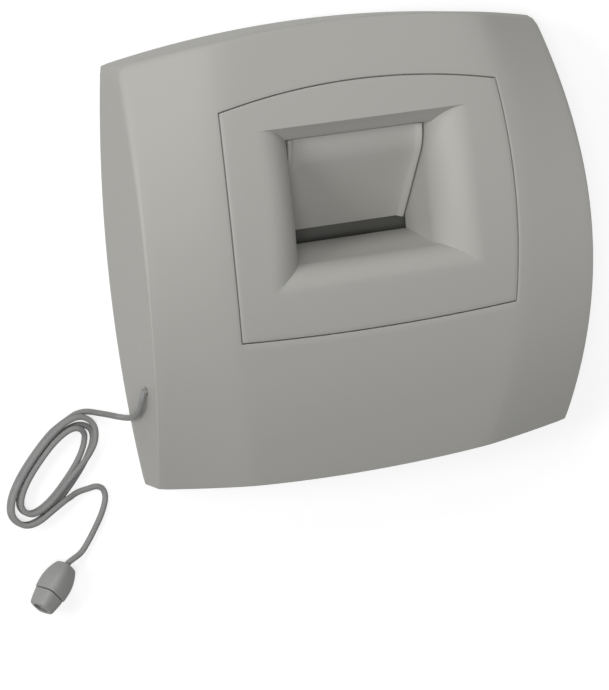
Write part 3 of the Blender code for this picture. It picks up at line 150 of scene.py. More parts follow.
# Cord, its eyelet and its route: the same points as the solids
CORD_DIAMETER = 0.0023
CORD_BORE = CORD_DIAMETER + 0.0008
CORD_Y = -0.0415
CORD_Z = 0.025
EYELET_BORE = CORD_DIAMETER + 0.0005
EYELET_WALL = 0.0007
EYELET_FLANGE = 0.0014
EYELET_RIM = 0.0023
EYELET_PROUD = 0.0004
EYELET_FLARE = 0.00025
EYELET_FIT = 0.00008
KNOT_DIAMETER = 0.0054
CARRIAGE_LEFT = -0.062
CARRIAGE_HEAD = 0.005
KNOT_X = CARRIAGE_LEFT + CARRIAGE_HEAD + SLIDE_FIT + KNOT_DIAMETER / 2
TABLE_LIFT = 0.00005
ROUTE_STEP = CORD_DIAMETER
LEAD_ROUTE = (
    (-0.0939, -0.0422, 0.0250), (-0.0944, -0.0444, 0.0244), (-0.0943, -0.0472, 0.0219),
    (-0.0942, -0.0498, 0.0182), (-0.0941, -0.0519, 0.0138), (-0.0943, -0.0533, 0.0087),
    (-0.0950, -0.0537, 0.0041), (-0.0972, -0.0532, 0.0016), (-0.1003, -0.0521, 0.0012),
    (-0.1040, -0.0509, 0.0012), (-0.1078, -0.0497, 0.0012), (-0.1103, -0.0493, 0.0012),
    (-0.1128, -0.0495, 0.0012), (-0.1153, -0.0503, 0.0012),
)
COIL_X = -0.1258
COIL_Y = -0.0698
COIL_Z = CORD_DIAMETER / 2 + TABLE_LIFT
COIL_TURN = math.radians(46.8)
COIL_LENGTH = 0.0478
COIL_WIDTH = 0.0193
COIL_LENGTH_STEP = 0.0048
COIL_GAP = 0.00045
COIL_STEP = CORD_DIAMETER + COIL_GAP
COIL_START = math.radians(60)
COIL_TURNS = 3.5
COIL_POINTS = 24
COIL_ROUNDNESS = 2.35
# Where the strand changes its place in the bundle: from and to in turns, columns in, layers up
COIL_MOVES = ((0.70, 0.95, 1, 0), (1.72, 1.88, 0, 1), (2.56, 2.72, -1, 0))
TAIL_ROUTE = (
    (-0.1226, -0.0820, 0.0035), (-0.1200, -0.0811, 0.0027), (-0.1176, -0.0803, 0.0016),
    (-0.1152, -0.0797, 0.0012), (-0.1118, -0.0792, 0.0012), (-0.1087, -0.0789, 0.0012),
    (-0.1063, -0.0801, 0.0012), (-0.1054, -0.0828, 0.0012), (-0.1060, -0.0860, 0.0012),
    (-0.1080, -0.0904, 0.0012), (-0.1112, -0.0954, 0.0012), (-0.1148, -0.1003, 0.0013),
    (-0.1182, -0.1036, 0.0019),
)

# Knob
KNOB_X = -0.1249
KNOB_Y = -0.1069
KNOB_HEADING = math.radians(225)
KNOB_TILT = math.radians(13)
KNOB_ROLL = math.radians(-22)
KNOB_LENGTH = 0.0200
KNOB_WIDTH = 0.0110
KNOB_TOP_WIDTH = 0.0066
KNOB_END_WIDTH = 0.0086
KNOB_WIDEST = 0.0093
KNOB_SEAM = 0.0132
KNOB_CAVITY = 0.0062
KNOB_NECK = 0.0045
KNOB_MOUTH = 0.0058
KNOB_LIP = 0.0006
KNOB_UNDERCUT = 0.0006
KNOB_FLARE = 0.0004
KNOB_TOP_SOFT = 0.0009
KNOB_SEAM_SOFT = 0.00035
KNOB_END_SOFT = 0.0007
KNOB_MOUTH_SOFT = 0.0002
KNOB_SQUARENESS = 3.6
KNOB_STEP = 0.0003
KNOB_APPROACH = 0.0014

# Return spring
FOOT_Y = -0.046
SPRING_Z = 0.0125
SPRING_DIAMETER = 0.006
SPRING_WIRE = 0.0008
SPRING_TURNS = 10
SPRING_STUB = 0.06
SPRING_END_RISE = 7
SPRING_LEFT = -0.020
SPRING_RIGHT = 0.0337

# Bridge screws of the governor
BRIDGE_SCREW_PLACES = ((-0.0603, -0.0665), (-0.044, -0.0804), (-0.017, -0.070))
BRIDGE_SCREW_TOP = 0.0196

# A screw's inputs, their values for both kinds, and the shares that shape its recess and shank
SCREW_INPUTS = ("Head Diameter", "Head Height", "Shank Diameter", "Length", "Turn")
COVER_SCREW = (COVER_SCREW_HEAD, COVER_SCREW_HEAD_HEIGHT, COVER_SCREW_DIAMETER,
               COVER_SCREW_LENGTH - COVER_SCREW_HEAD_HEIGHT, COVER_SCREW_TURN)
BRIDGE_SCREW = (0.0038, 0.0013, 0.002, 0.008, (math.pi, 0.0, 0.7))
RECESS_LENGTH = 0.62
RECESS_WIDTH = 0.13
RECESS_DEPTH = 1.1
SHANK_TIP = 0.36
SHANK_SEAT = 0.96


# Nodes written as expressions

def maths(operation, swapped=False):
    """Method that adds a Math node. Swapped is for an operator with the field on its right."""
    def method(self, *others):
        values = (*others, self) if swapped else (self, *others)
        return self.tree.add("ShaderNodeMath", dict(enumerate(values)), operation=operation)
    return method


class Field:
    """A socket of a node tree. Arithmetic on it adds Math nodes."""
    __add__ = maths("ADD")
    __radd__ = maths("ADD", swapped=True)
    __sub__ = maths("SUBTRACT")
    __rsub__ = maths("SUBTRACT", swapped=True)
    __mul__ = maths("MULTIPLY")
    __rmul__ = maths("MULTIPLY", swapped=True)
    __truediv__ = maths("DIVIDE")
    __pow__ = maths("POWER")
    sine = maths("SINE")
    cosine = maths("COSINE")
    size = maths("ABSOLUTE")
    least = maths("MINIMUM")
    most = maths("MAXIMUM")

    def __init__(self, tree, socket):
        self.tree = tree
        self.socket = socket

    def within(self, low, high):
        """0 below low, 1 above high, even between."""
        values = {"Value": self, "From Min": low, "From Max": high}
        return self.tree.add("ShaderNodeMapRange", values, clamp=True)


class Tree:
    """A node tree that nodes are added to."""

    def __init__(self, made):
        self.made = made
        self.made.nodes.clear()

    def add(self, kind, values=None, out=0, **settings):
        node = self.made.nodes.new(kind)
        for name, value in settings.items():
            setattr(node, name, value)
        for key, value in (values or {}).items():
            if isinstance(value, Field):
                self.made.links.new(value.socket, node.inputs[key])
            else:
                node.inputs[key].default_value = value
        return Field(self, node.outputs[out]) if len(node.outputs) else node

    def more(self, field, out):
        """Another output of the node that a field comes from."""
        return Field(self, field.socket.node.outputs[out])


class Finish(Tree):
    """A material. Its patterns are in metres, on the object's own coordinates."""

    def __init__(self, name):
        self.material = bpy.data.materials.new(name)
        self.material.use_nodes = True
        super().__init__(self.material.node_tree)
        self.place = self.add("ShaderNodeTexCoord", out="Object")

    def noise(self, scale, detail=2.0, roughness=0.5, at=None):
        values = {"Vector": at or self.place, "Scale": scale, "Detail": detail, "Roughness": roughness}
        return self.add("ShaderNodeTexNoise", values, out="Fac")

    def cells(self, scale, feature="F1", out="Distance"):
        return self.add("ShaderNodeTexVoronoi", {"Vector": self.place, "Scale": scale},
                        out=out, feature=feature)

    def mix(self, share, first, second):
        return self.add("ShaderNodeMix", {0: share, 6: first, 7: second}, out=2, data_type="RGBA")

    def stretched(self, *scale):
        return self.add("ShaderNodeMapping", {"Vector": self.place, "Scale": scale})

    def bump(self, height, strength, distance):
        values = {"Height": height, "Strength": strength, "Distance": distance}
        return self.add("ShaderNodeBump", values)

    def shade(self, values):
        shader = self.add("ShaderNodeBsdfPrincipled", values)
        self.add("ShaderNodeOutputMaterial", {"Surface": shader})
        return self.material


def grey(colour, times=1.0):
    return (*[c * times for c in colour], 1.0)


CASING_COLOUR = (0.400, 0.395, 0.373)
# The flap's colour is a tenth paler than the casing's: painted light, standing in for light that reaches
# deep into the recess.
FLAP_PAINTED_LIGHT_COLOUR = (0.440, 0.435, 0.411)
INNER_COLOUR = (0.295, 0.292, 0.279)
KNOB_COLOUR = (0.278, 0.276, 0.272)
CORD_COLOUR = (0.270, 0.268, 0.266)
ZINC_COLOURS = ((0.42, 0.43, 0.44, 1), (0.60, 0.61, 0.62, 1))
# Foam colours: the darker one is painted shade in the cut bubbles' hollows, the paler one the cell walls.
FOAM_PAINTED_SHADE_COLOURS = ((0.016, 0.016, 0.017, 1), (0.055, 0.055, 0.056, 1))


def moulded_plastic(name, colour, rough, grain, drift=0.05):
    """Matt moulded plastic: slow drift of tone, a fine eroded grain, and paler rubbed edges."""
    f = Finish(name)
    cloud = f.noise(14.0, 3.0)
    speck = f.noise(grain, 2.0, 0.6)
    pits = f.cells(grain * 0.6)
    share = (0.5 + (cloud - 0.5) * drift * 6 + (speck - 0.5) * 0.3).within(0.0, 1.0)
    tone = f.mix(share, grey(colour, 1 - drift), grey(colour, 1 + drift))
    rub = f.add("ShaderNodeAttribute", out="Fac", attribute_name="rub")
    worn = f.mix(rub * (0.12 + 0.3 * f.noise(160.0, 4.0)), tone, grey(colour, 1.22))
    relief = f.bump(speck * 0.7 + pits * 0.3, 0.10, 0.00012)
    return f.shade({
        "Base Color": worn,
        "Roughness": (rough + (speck - 0.5) * 0.12 + (cloud - 0.5) * 0.08 - rub * 0.06),
        "Normal": relief,
        "Specular IOR Level": 0.35,
    })


def brushed_metal(name, colour, rough, stretch, tarnish):
    """Drawn or turned metal: fine lines along one direction, with a thin uneven film."""
    f = Finish(name)
    lines = f.noise(1.0, 3.0, 0.6, f.stretched(*stretch))
    film = f.noise(220.0, 4.0, 0.6).within(0.45, 0.75)
    tone = f.mix(lines, grey(colour, 0.86), grey(colour, 1.08))
    return f.shade({
        "Base Color": f.mix(film * tarnish, tone, grey(colour, 0.55)),
        "Metallic": 1.0,
        "Roughness": rough + (lines - 0.5) * 0.2 + film * 0.15,
        "Normal": f.bump(lines, 0.15, 0.00003),
    })


def galvanised_sheet(name):
    """Zinc coated sheet with its flat crystals."""
    f = Finish(name)
    crystal = f.add("ShaderNodeSeparateColor", {0: f.cells(420.0, out="Color")})
    edge = f.cells(420.0, feature="DISTANCE_TO_EDGE").within(0.0, 0.08)
    haze = f.noise(900.0, 3.0)
    return f.shade({
        "Base Color": f.mix(crystal, *ZINC_COLOURS),
        "Metallic": 1.0,
        "Roughness": 0.34 + crystal * 0.16 + haze * 0.08,
        "Normal": f.bump(crystal * 0.5 + edge * 0.5, 0.08, 0.00003),
    })


def foam(name):
    """Closed cell foam: small bubbles cut open."""
    f = Finish(name)
    bubble = f.cells(1300.0)
    fine = f.noise(2600.0, 3.0)
    # Bubble depth: the colour darkens towards each bubble's middle as painted shade in its hollow, and
    # the bump sinks there.
    depth = bubble.within(0.1, 0.6)
    return f.shade({
        "Base Color": f.mix(depth, *FOAM_PAINTED_SHADE_COLOURS),
        "Roughness": 0.86 + fine * 0.12,
        "Normal": f.bump(depth + fine * 0.3, 0.8, 0.0003),
        "Specular IOR Level": 0.3,
    })


def nylon(name, colour):
    """Natural nylon: waxy, with faint flow clouds."""
    f = Finish(name)
    flow = f.noise(1.0, 3.0, 0.55, f.stretched(90.0, 240.0, 240.0))
    fine = f.noise(1900.0, 2.0)
    return f.shade({
        "Base Color": f.mix(flow, grey(colour, 0.9), grey(colour, 1.04)),
        "Roughness": 0.42 + fine * 0.12 + flow * 0.06,
        "Normal": f.bump(fine, 0.08, 0.00008),
        "Subsurface Weight": 0.1,
        "Subsurface Radius": (0.002, 0.0018, 0.0015),
    })


BRAID_CARRIERS = 8
BRAID_PITCH = 0.0052


def braided_cord(name, colour):
    """Braided cord on the tube's own UV map: U once round, V in metres along."""
    f = Finish(name)
    spots = f.add("ShaderNodeSeparateXYZ", {0: f.add("ShaderNodeUVMap", uv_map="lay")})
    around = spots * BRAID_CARRIERS
    along = f.more(spots, "Y") * (BRAID_CARRIERS / BRAID_PITCH)
    right = ((around + along) * math.pi).sine().size()
    left = ((around - along) * math.pi).sine().size()
    over = ((around + along) * 0.5 * math.pi).sine() * ((around - along) * 0.5 * math.pi).sine()
    upper = over.within(-0.15, 0.15)
    strand = right * upper + left * (1 - upper)
    fibre = f.noise(5200.0, 3.0)
    wear = f.noise(60.0, 3.0)
    # The colour is darker where the strands meet: painted shade in the grooves between strands, with
    # fibre and wear tone on top.
    share = (strand * 0.75 + fibre * 0.35 + (wear - 0.5) * 0.5).within(0.15, 1.1)
    return f.shade({
        "Base Color": f.mix(share, grey(colour, 0.62), grey(colour, 1.2)),
        "Roughness": 0.72 + fibre * 0.15 - strand * 0.06,
        "Normal": f.bump(strand + fibre * 0.35, 0.55, 0.00012),
        "Specular IOR Level": 0.3,
        "Sheen Weight": 0.15,
    })


LOOKS = {
    "casing": moulded_plastic("casing_grey", CASING_COLOUR, 0.56, 1500.0),
    # Flap: the casing's plastic made paler, as painted light in the recess.
    "flap": moulded_plastic("flap_grey", FLAP_PAINTED_LIGHT_COLOUR, 0.56, 1500.0),
    "inner": moulded_plastic("inner_grey", INNER_COLOUR, 0.60, 1100.0, 0.07),
    "knob": moulded_plastic("knob_grey", KNOB_COLOUR, 0.46, 2600.0, 0.04),
    "foam": foam("gasket_foam"),
    "steel": brushed_metal("turned_steel", (0.56, 0.56, 0.55), 0.30, (300.0, 300.0, 4000.0), 0.25),
    "zinc_sheet": galvanised_sheet("zinc_sheet"),
    "brass": brushed_metal("turned_brass", (0.60, 0.44, 0.19), 0.32, (300.0, 300.0, 4200.0), 0.4),
    "nylon": nylon("white_nylon", (0.72, 0.71, 0.66)),
    "cord": braided_cord("cord_grey", CORD_COLOUR),
}


# Making and placing pieces

def show(name, data):
    piece = bpy.data.objects.new(name, data)
    bpy.context.scene.collection.objects.link(piece)
    return piece


def finish_mesh(mesh, look, sharp):
    mesh.materials.clear()
    mesh.materials.append(LOOKS[look])
    mesh.shade_smooth()
    mesh.set_sharp_from_angle(angle=math.radians(sharp))


def show_bmesh(name, bm):
    bmesh.ops.recalc_face_normals(bm, faces=bm.faces)
    mesh = bpy.data.meshes.new(name)
    bm.to_mesh(mesh)
    bm.free()
    return show(name, mesh)


def settled(piece):
    """Turn a piece with modifiers into a plain mesh."""
    found = piece.evaluated_get(bpy.context.evaluated_depsgraph_get())
    mesh = bpy.data.meshes.new_from_object(found)
    mesh.name = piece.name
    piece.modifiers.clear()
    piece.data = mesh
    return piece


def belongs(piece, body, slot, *nodes, look=None, sharp=30):
    """Give a piece its slot and finish, and the body and nodes that it stands for."""
    finish_mesh(piece.data, look or slot, sharp)
    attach(piece, body)
    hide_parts(*nodes)
    return piece


def bridge(bm, loops):
    """Faces between each loop of vertices and the next."""
    for first, second in zip(loops[:-1], loops[1:]):
        for k in range(len(first)):
            n = (k + 1) % len(first)
            bm.faces.new((first[k], first[n], second[n], second[k]))


def add_rings(bm, rings, around=True):
    """Bridge rings of equal length. Around joins last to first, otherwise both ends are capped."""
    rows = [[bm.verts.new(point) for point in ring] for ring in rings]
    if around:
        bridge(bm, rows + rows[:1])
    else:
        bridge(bm, rows)
        bm.faces.new(rows[0])
        bm.faces.new(rows[-1])
    return rows


def ring_piece(name, rings, around=True):
    bm = bmesh.new()
    add_rings(bm, rings, around)
    return show_bmesh(name, bm)


def cut(piece, ring_sets, operation="DIFFERENCE"):
    """Cut or join closed bodies with a piece, and leave a plain mesh."""
    bm = bmesh.new()
    for rings, around in ring_sets:
        add_rings(bm, rings, around)
    tool = show_bmesh(piece.name + "_tool", bm)
    step = piece.modifiers.new("cut", "BOOLEAN")
    step.operation = operation
    step.solver = "EXACT"
    step.object = tool
    settled(piece)
    bpy.data.objects.remove(tool)
    return piece


def circle(axis, centre, radius, count):
    """Points of a circle about an axis named X or Z."""
    points = []
    for k in range(count):
        a = radius * math.cos(math.tau * k / count)
        b = radius * math.sin(math.tau * k / count)
        offset = {"X": (0, a, b), "Z": (a, b, 0)}[axis]
        points.append(Vector(centre) + Vector(offset))
    return points


def turned(axis, centre, profile, count=48):
    """Rings about an axis from (station, radius) pairs, the station measured along the axis."""
    direction = {"X": Vector((1, 0, 0)), "Z": Vector((0, 0, 1))}[axis]
    return [circle(axis, Vector(centre) + direction * at, radius, count) for at, radius in profile]


def rod(axis, centre, start, end, radius, count=48):
    """Closed cylinder between two stations along an axis, as cut takes it."""
    return turned(axis, centre, ((start, radius), (end, radius)), count), False


def steps(first, last, count):
    """Even steps from first towards last, with last left out."""
    return [first + (last - first) * k / count for k in range(count)]


def ease(value, low, high):
    """Soft rise from 0 at low to 1 at high."""
    share = min(max((value - low) / (high - low), 0.0), 1.0)
    return share * share * (3 - 2 * share)


def signed_power(value, power):
    return math.copysign(abs(value) ** power, value)


def bezier(a, b, c, share):
    return a * (1 - share) ** 2 + b * 2 * share * (1 - share) + c * share ** 2


# Camera, light and floor

LAMP_SIZE = 0.9
LAMP_AIM = (0, 0, 0.02)
WHITE = (1, 1, 1, 1)
AMBIENT = 0.20
FLOOR_SIZE = 6.0
FLOOR_DROP = 0.0002
# Width over which the painted shade in the duct fades out at its rim
DUCT_SHADE_FADE = 0.002
FLOOR_GLOW = 0.70
FLOOR_SEEN = (0.42, 0.42, 0.42, 1)
FLOOR_LIT = (0.45, 0.45, 0.44, 1)
# Darker floor colour inside the duct circle: painted shade where the floor is shut in under the casing.
DUCT_PAINTED_SHADE = (0.14, 0.14, 0.13, 1)


def add_camera():
    lens = bpy.data.cameras.new("camera")
    lens.sensor_width = SENSOR_MM
    lens.lens = FOCAL_PIXELS * SENSOR_MM / IMAGE_HEIGHT
    lens.clip_start, lens.clip_end = CAMERA_CLIP
    camera = show("camera", lens)
    turn = (Matrix.Rotation(CAMERA_ROLL, 3, "Z") @ Matrix.Rotation(CAMERA_PITCH, 3, "X")
            @ Matrix.Rotation(CAMERA_YAW, 3, "Y"))
    back = turn.transposed()
    camera.matrix_world = Matrix.Translation(back @ Vector(CAMERA_PLACE)) @ back.to_4x4()
    bpy.context.scene.camera = camera


def add_lamp(name, place, power):
    lamp = bpy.data.lights.new(name, "AREA")
    lamp.shape = "DISK"
    lamp.size = LAMP_SIZE
    lamp.energy = power
    holder = show(name, lamp)
    holder.location = place
    holder.rotation_euler = (Vector(LAMP_AIM) - Vector(place)).to_track_quat("-Z", "Y").to_euler()


def seen_ray(tree):
    """1 for rays from the camera, and for mirror and clear rays, 0 for the rest."""
    path = tree.add("ShaderNodeLightPath", out="Is Camera Ray")
    return path.most(tree.more(path, "Is Glossy Ray")).most(tree.more(path, "Is Transmission Ray"))


def add_floor():
    """Pale floor that is white where it is lit, and keeps the soft shadow. In the duct it has a dark
    colour: painted shade.
    """
    f = Finish("floor")
    x = f.add("ShaderNodeSeparateXYZ", {0: f.place}, out="X")
    y = f.more(x, "Y") - DUCT_Y
    # Mask of the duct circle, where the floor gets the painted shade
    outside = ((x * x + y * y) ** 0.5).within(DUCT_RADIUS + DUCT_SHADE_FADE, DUCT_RADIUS + 2 * DUCT_SHADE_FADE)
    glow = f.add("ShaderNodeEmission", {"Color": WHITE, "Strength": FLOOR_GLOW})
    plain, lit, painted_shade = [f.add("ShaderNodeBsdfDiffuse", {"Color": colour})
                        for colour in (FLOOR_SEEN, FLOOR_LIT, DUCT_PAINTED_SHADE)]
    seen = f.add("ShaderNodeAddShader", {0: glow, 1: plain})
    pale = f.add("ShaderNodeMixShader", {0: seen_ray(f), 1: lit, 2: seen})
    f.add("ShaderNodeOutputMaterial",
          {"Surface": f.add("ShaderNodeMixShader", {0: outside, 1: painted_shade, 2: pale})})
    mesh = bpy.data.meshes.new("floor")
    corners = ((-1, -1), (1, -1), (1, 1), (-1, 1))
    mesh.from_pydata([(x * FLOOR_SIZE / 2, y * FLOOR_SIZE / 2, -FLOOR_DROP) for x, y in corners], [],
                     [range(4)])
    mesh.materials.append(f.material)
    show("floor", mesh)


def add_world():
    world = bpy.data.worlds.new("studio")
    world.use_nodes = True
    bpy.context.scene.world = world
    tree = Tree(world.node_tree)
    soft = tree.add("ShaderNodeBackground", {"Color": WHITE, "Strength": AMBIENT})
    white = tree.add("ShaderNodeBackground", {"Color": WHITE, "Strength": 1.0})
    tree.add("ShaderNodeOutputWorld",
             {"Surface": tree.add("ShaderNodeMixShader", {0: seen_ray(tree), 1: soft, 2: white})})


add_camera()
bpy.context.scene.view_settings.view_transform = "Standard"
add_world()
add_floor()
add_lamp("front", (-0.94, -0.06, 2.20), 20.3)
add_lamp("left", (-1.99, 0.48, 1.26), 21.5)
add_lamp("top", (-0.48, 2.04, 1.16), 14.8)


# Cord

def smooth_route(route, step):
    """Points at even steps along a Catmull-Rom curve through a route."""
    ends = [2 * route[0] - route[1]] + route + [2 * route[-1] - route[-2]]
    fine = []
    for p0, p1, p2, p3 in zip(ends[:-3], ends[1:-2], ends[2:-1], ends[3:]):
        for t in steps(0, 1, 24):
            fine.append(0.5 * (2 * p1 + (p2 - p0) * t + (2 * p0 - 5 * p1 + 4 * p2 - p3) * t ** 2
                               + (3 * p1 - p0 - 3 * p2 + p3) * t ** 3))
    fine.append(route[-1])
    fine = np.array(fine)
    along = np.concatenate(([0], np.cumsum(np.linalg.norm(np.diff(fine, axis=0), axis=1))))
    count = max(2, round(along[-1] / step))
    at = np.linspace(0, along[-1], count + 1)
    return [Vector((np.interp(s, along, fine[:, k]) for k in range(3))) for s in at]


def coil_place(turns):
    """Point of the coil after a number of turns. The strand lies in two columns and two layers."""
    column = 0.0
    layer = 0.0
    for start, end, inward, upward in COIL_MOVES:
        share = ease(turns, start, end)
        column += inward * share
        layer += upward * share
    angle = COIL_START + math.tau * turns
    a = COIL_LENGTH / 2 - COIL_LENGTH_STEP * column
    b = COIL_WIDTH / 2 - COIL_STEP * column
    p = a * signed_power(math.cos(angle), 2 / COIL_ROUNDNESS)
    q = b * signed_power(math.sin(angle), 2 / COIL_ROUNDNESS)
    x = COIL_X + p * math.cos(COIL_TURN) - q * math.sin(COIL_TURN)
    y = COIL_Y + p * math.sin(COIL_TURN) + q * math.cos(COIL_TURN)
    return Vector((x, y, COIL_Z + COIL_STEP * layer))


def coil_points():
    count = round(COIL_TURNS * COIL_POINTS)
    return [coil_place(COIL_TURNS * k / count) for k in range(count + 1)]


def knob_ring(half, z, place, squareness=KNOB_SQUARENESS, count=64):
    """Ring of the knob, rolled about its axis: a rounded square, and round at a squareness of 2."""
    points = []
    for k in range(count):
        angle = math.tau * k / count
        c = abs(math.cos(angle))
        s = abs(math.sin(angle))
        radius = half / (c ** squareness + s ** squareness) ** (1 / squareness)
        turn = angle + KNOB_ROLL
        points.append(place @ Vector((radius * math.cos(turn), radius * math.sin(turn), z)))
    return points


def knob_half(z):
    """Half width of the knob along its length: a barrel that is widest near its middle."""
    end = KNOB_TOP_WIDTH if z < KNOB_WIDEST else KNOB_END_WIDTH
    span = KNOB_WIDEST if z < KNOB_WIDEST else KNOB_LENGTH - KNOB_WIDEST
    share = (z - KNOB_WIDEST) / span
    return (KNOB_WIDTH - (KNOB_WIDTH - end) * share ** 2) / 2


def knob_place():
    """Matrix that stands the knob's own +Z along its axis, from the cord's entry to its raised end."""
    flat = Vector((math.cos(KNOB_HEADING), math.sin(KNOB_HEADING), 0))
    rise = Vector((0, 0, 1))
    heading = flat * math.cos(KNOB_TILT) + rise * math.sin(KNOB_TILT)
    up = rise * math.cos(KNOB_TILT) - flat * math.sin(KNOB_TILT)
    turn = Matrix((up, heading.cross(up), heading)).transposed().to_4x4()
    lowest = min(point.z for z in steps(0, KNOB_LENGTH, 16)
                 for point in knob_ring(knob_half(z), z, turn, count=16))
    return Matrix.Translation((KNOB_X, KNOB_Y, TABLE_LIFT - lowest)) @ turn


def outline_x(y):
    return HALF_WIDTH - SIDE_BULGE * (y / CORNER_Y) ** 2


def outline_y(x, side):
    """The top edge, or the bottom one for a negative side, which bulges less."""
    flat = BOTTOM_FLATNESS * (1 - (x / CORNER_X) ** 2) if side < 0 else 0.0
    return HALF_HEIGHT - END_BULGE * (x / CORNER_X) ** 2 - flat


KNOB_PLACE = knob_place()
KNOT_STATION = KNOB_NECK + SLIDE_FIT + KNOT_DIAMETER / 2
EYELET_FACE = -outline_x(CORD_Y) + DRAFT * CORD_Z
EXIT_X = EYELET_FACE - EYELET_PROUD
CORD_STEP = 0.0005
CORD_SIDES = 16
KNOT_POINTS = 96
KNOT_SIDES = 12
KNOT_SPREAD = 4.4
KNOT_STRAND = 1.3
KNOT_HEIGHT = 1.15


def ring_about(point, ahead, side, radius, sides):
    """Circle about a direction, starting at a side that is square to it."""
    across = ahead.cross(side)
    turns = [math.tau * n / sides for n in range(sides)]
    return [point + (side * math.cos(turn) + across * math.sin(turn)) * radius for turn in turns]


def tube(name, rings, travelled=0.0, closed=False):
    """Tube over rings, with a UV map named lay: once round, and metres along."""
    bm = bmesh.new()
    lay = bm.loops.layers.uv.new("lay")
    rows = [[bm.verts.new(point) for point in ring] for ring in rings]
    sides = len(rows[0])
    pairs = zip(rows, rows[1:] + rows[:1] if closed else rows[1:])
    for k, (first, second) in enumerate(pairs):
        for n in range(sides):
            m = (n + 1) % sides
            face = bm.faces.new((first[n], first[m], second[m], second[n]))
            spots = ((n, k), (n + 1, k), (n + 1, k + 1), (n, k + 1))
            for loop, (round_step, step) in zip(face.loops, spots):
                loop[lay].uv = (round_step / sides, travelled + step * CORD_STEP)
    if not closed:
        bm.faces.new(rows[0])
        bm.faces.new(rows[-1])
    return show_bmesh(name, bm)


def cord_tube(name, points, travelled):
    side = Vector((0, 0, 1))
    rings = []
    for k, point in enumerate(points):
        ahead = (points[min(k + 1, len(points) - 1)] - points[max(k - 1, 0)]).normalized()
        side = (side - ahead * side.dot(ahead)).normalized()
        rings.append(ring_about(point, ahead, side, CORD_DIAMETER / 2, CORD_SIDES))
    return tube(name, rings, travelled)


def knot(name, centre, axis):
    """Overhand knot drawn tight: a tube on a three lobed loop."""
    stand = Vector((0, 0, 1)).rotation_difference(axis).to_matrix()
    unit = KNOT_DIAMETER / 2 / KNOT_SPREAD
    line = []
    for k in range(KNOT_POINTS):
        t = math.tau * k / KNOT_POINTS
        swell = 2 + math.cos(3 * t)
        spot = Vector((swell * math.cos(2 * t), swell * math.sin(2 * t), KNOT_HEIGHT * math.sin(3 * t)))
        line.append(centre + stand @ spot * unit)
    rings = []
    for k, point in enumerate(line):
        ahead = (line[(k + 1) % KNOT_POINTS] - line[k - 1]).normalized()
        side = (point - centre).cross(ahead).normalized()
        rings.append(ring_about(point, ahead, side, unit * KNOT_STRAND, KNOT_SIDES))
    return tube(name, rings, closed=True)


def knob_round(*stations):
    """Round rings of the knob from (radius, station) pairs."""
    return [knob_ring(radius, z, KNOB_PLACE, 2) for radius, z in stations]


def knob_shell(low, high, step, soft_low, soft_high):
    """Outside rings between two stations, with a rounded edge at each end."""
    quarter = [math.pi / 2 * k / 4 for k in range(5)]
    stations = [(low + soft_low * (1 - math.cos(t)), soft_low * (1 - math.sin(t))) for t in quarter]
    stations += [(z, 0.0) for z in steps(low + soft_low, high - soft_high, 16)[1:]]
    stations += [(high - soft_high * (1 - math.sin(t)), soft_high * (1 - math.cos(t))) for t in quarter]
    return [knob_ring(knob_half(z) - step - inset, z, KNOB_PLACE) for z, inset in stations]


def make_knob():
    bore = CORD_BORE / 2
    cavity = KNOB_CAVITY / 2
    body = knob_shell(0.0, KNOB_SEAM, 0.0, KNOB_TOP_SOFT, KNOB_SEAM_SOFT)
    body += knob_round((cavity, KNOB_SEAM), (cavity, KNOB_NECK), (bore, KNOB_NECK), (bore, KNOB_FLARE),
                       (bore + KNOB_FLARE, 0.0))
    low = KNOB_SEAM + FIT
    cap = knob_shell(low, KNOB_LENGTH, KNOB_STEP, KNOB_SEAM_SOFT, KNOB_END_SOFT)
    mouth = KNOB_MOUTH / 2
    hollow = mouth + KNOB_UNDERCUT
    lip = KNOB_LENGTH - KNOB_LIP
    cap += knob_round((mouth + KNOB_MOUTH_SOFT, KNOB_LENGTH), (mouth, KNOB_LENGTH - KNOB_MOUTH_SOFT),
                      (mouth, lip), (hollow, lip), (hollow, low))
    shell = belongs(ring_piece("knob_shell", body), "pull", "knob", "knob_body", sharp=38)
    end = belongs(ring_piece("knob_end", cap), "pull", "knob", "knob_cap", sharp=38)
    return shell, end


def make_cord():
    """One length of cord: inside to the eyelet, down to the floor, the coil, and on to the knob."""
    coil = coil_points()
    start = Vector((KNOT_X - KNOT_DIAMETER / 2 - FIT, CORD_Y, CORD_Z))
    straight = [Vector((x, CORD_Y, CORD_Z)) for x in (EXIT_X + ROUTE_STEP, EXIT_X)]
    entry = [KNOB_PLACE @ Vector((0, 0, z)) for z in (-KNOB_APPROACH, 0)]
    stop = KNOB_PLACE @ Vector((0, 0, KNOT_STATION - KNOT_DIAMETER / 2 - FIT))
    route = [start] + straight + [Vector(p) for p in LEAD_ROUTE] + coil
    route += [Vector(p) for p in TAIL_ROUTE] + entry + [stop]
    points = smooth_route(route, CORD_STEP)
    inside = next(k for k, p in enumerate(points) if p.x < EXIT_X + ROUTE_STEP)
    inner = cord_tube("cord_inner", points[:inside + 1], 0.0)
    outer = cord_tube("pull_cord", points[inside:], inside * CORD_STEP)
    knob = make_knob()
    axis = KNOB_PLACE.to_3x3() @ Vector((0, 0, 1))
    end_knot = knot("knot_in_knob", KNOB_PLACE @ Vector((0, 0, KNOT_STATION)), axis)
    belongs(end_knot, "pull", "cord", "knob_knot", sharp=60)
    first_knot = knot("knot_in_carriage", Vector((KNOT_X, CORD_Y, CORD_Z)), Vector((1, 0, 0)))
    belongs(first_knot, "pull", "cord", "carriage_knot", sharp=60)
    belongs(inner, "pull", "cord", sharp=60)
    belongs(outer, "pull", "cord", "cord_lead", "cord_coil", "cord_tail", sharp=60)


make_cord()


# Casing

def crease_x(y):
    return CREASE_X - (y - CREASE_Y) ** 2 / (2 * CREASE_RADIUS)


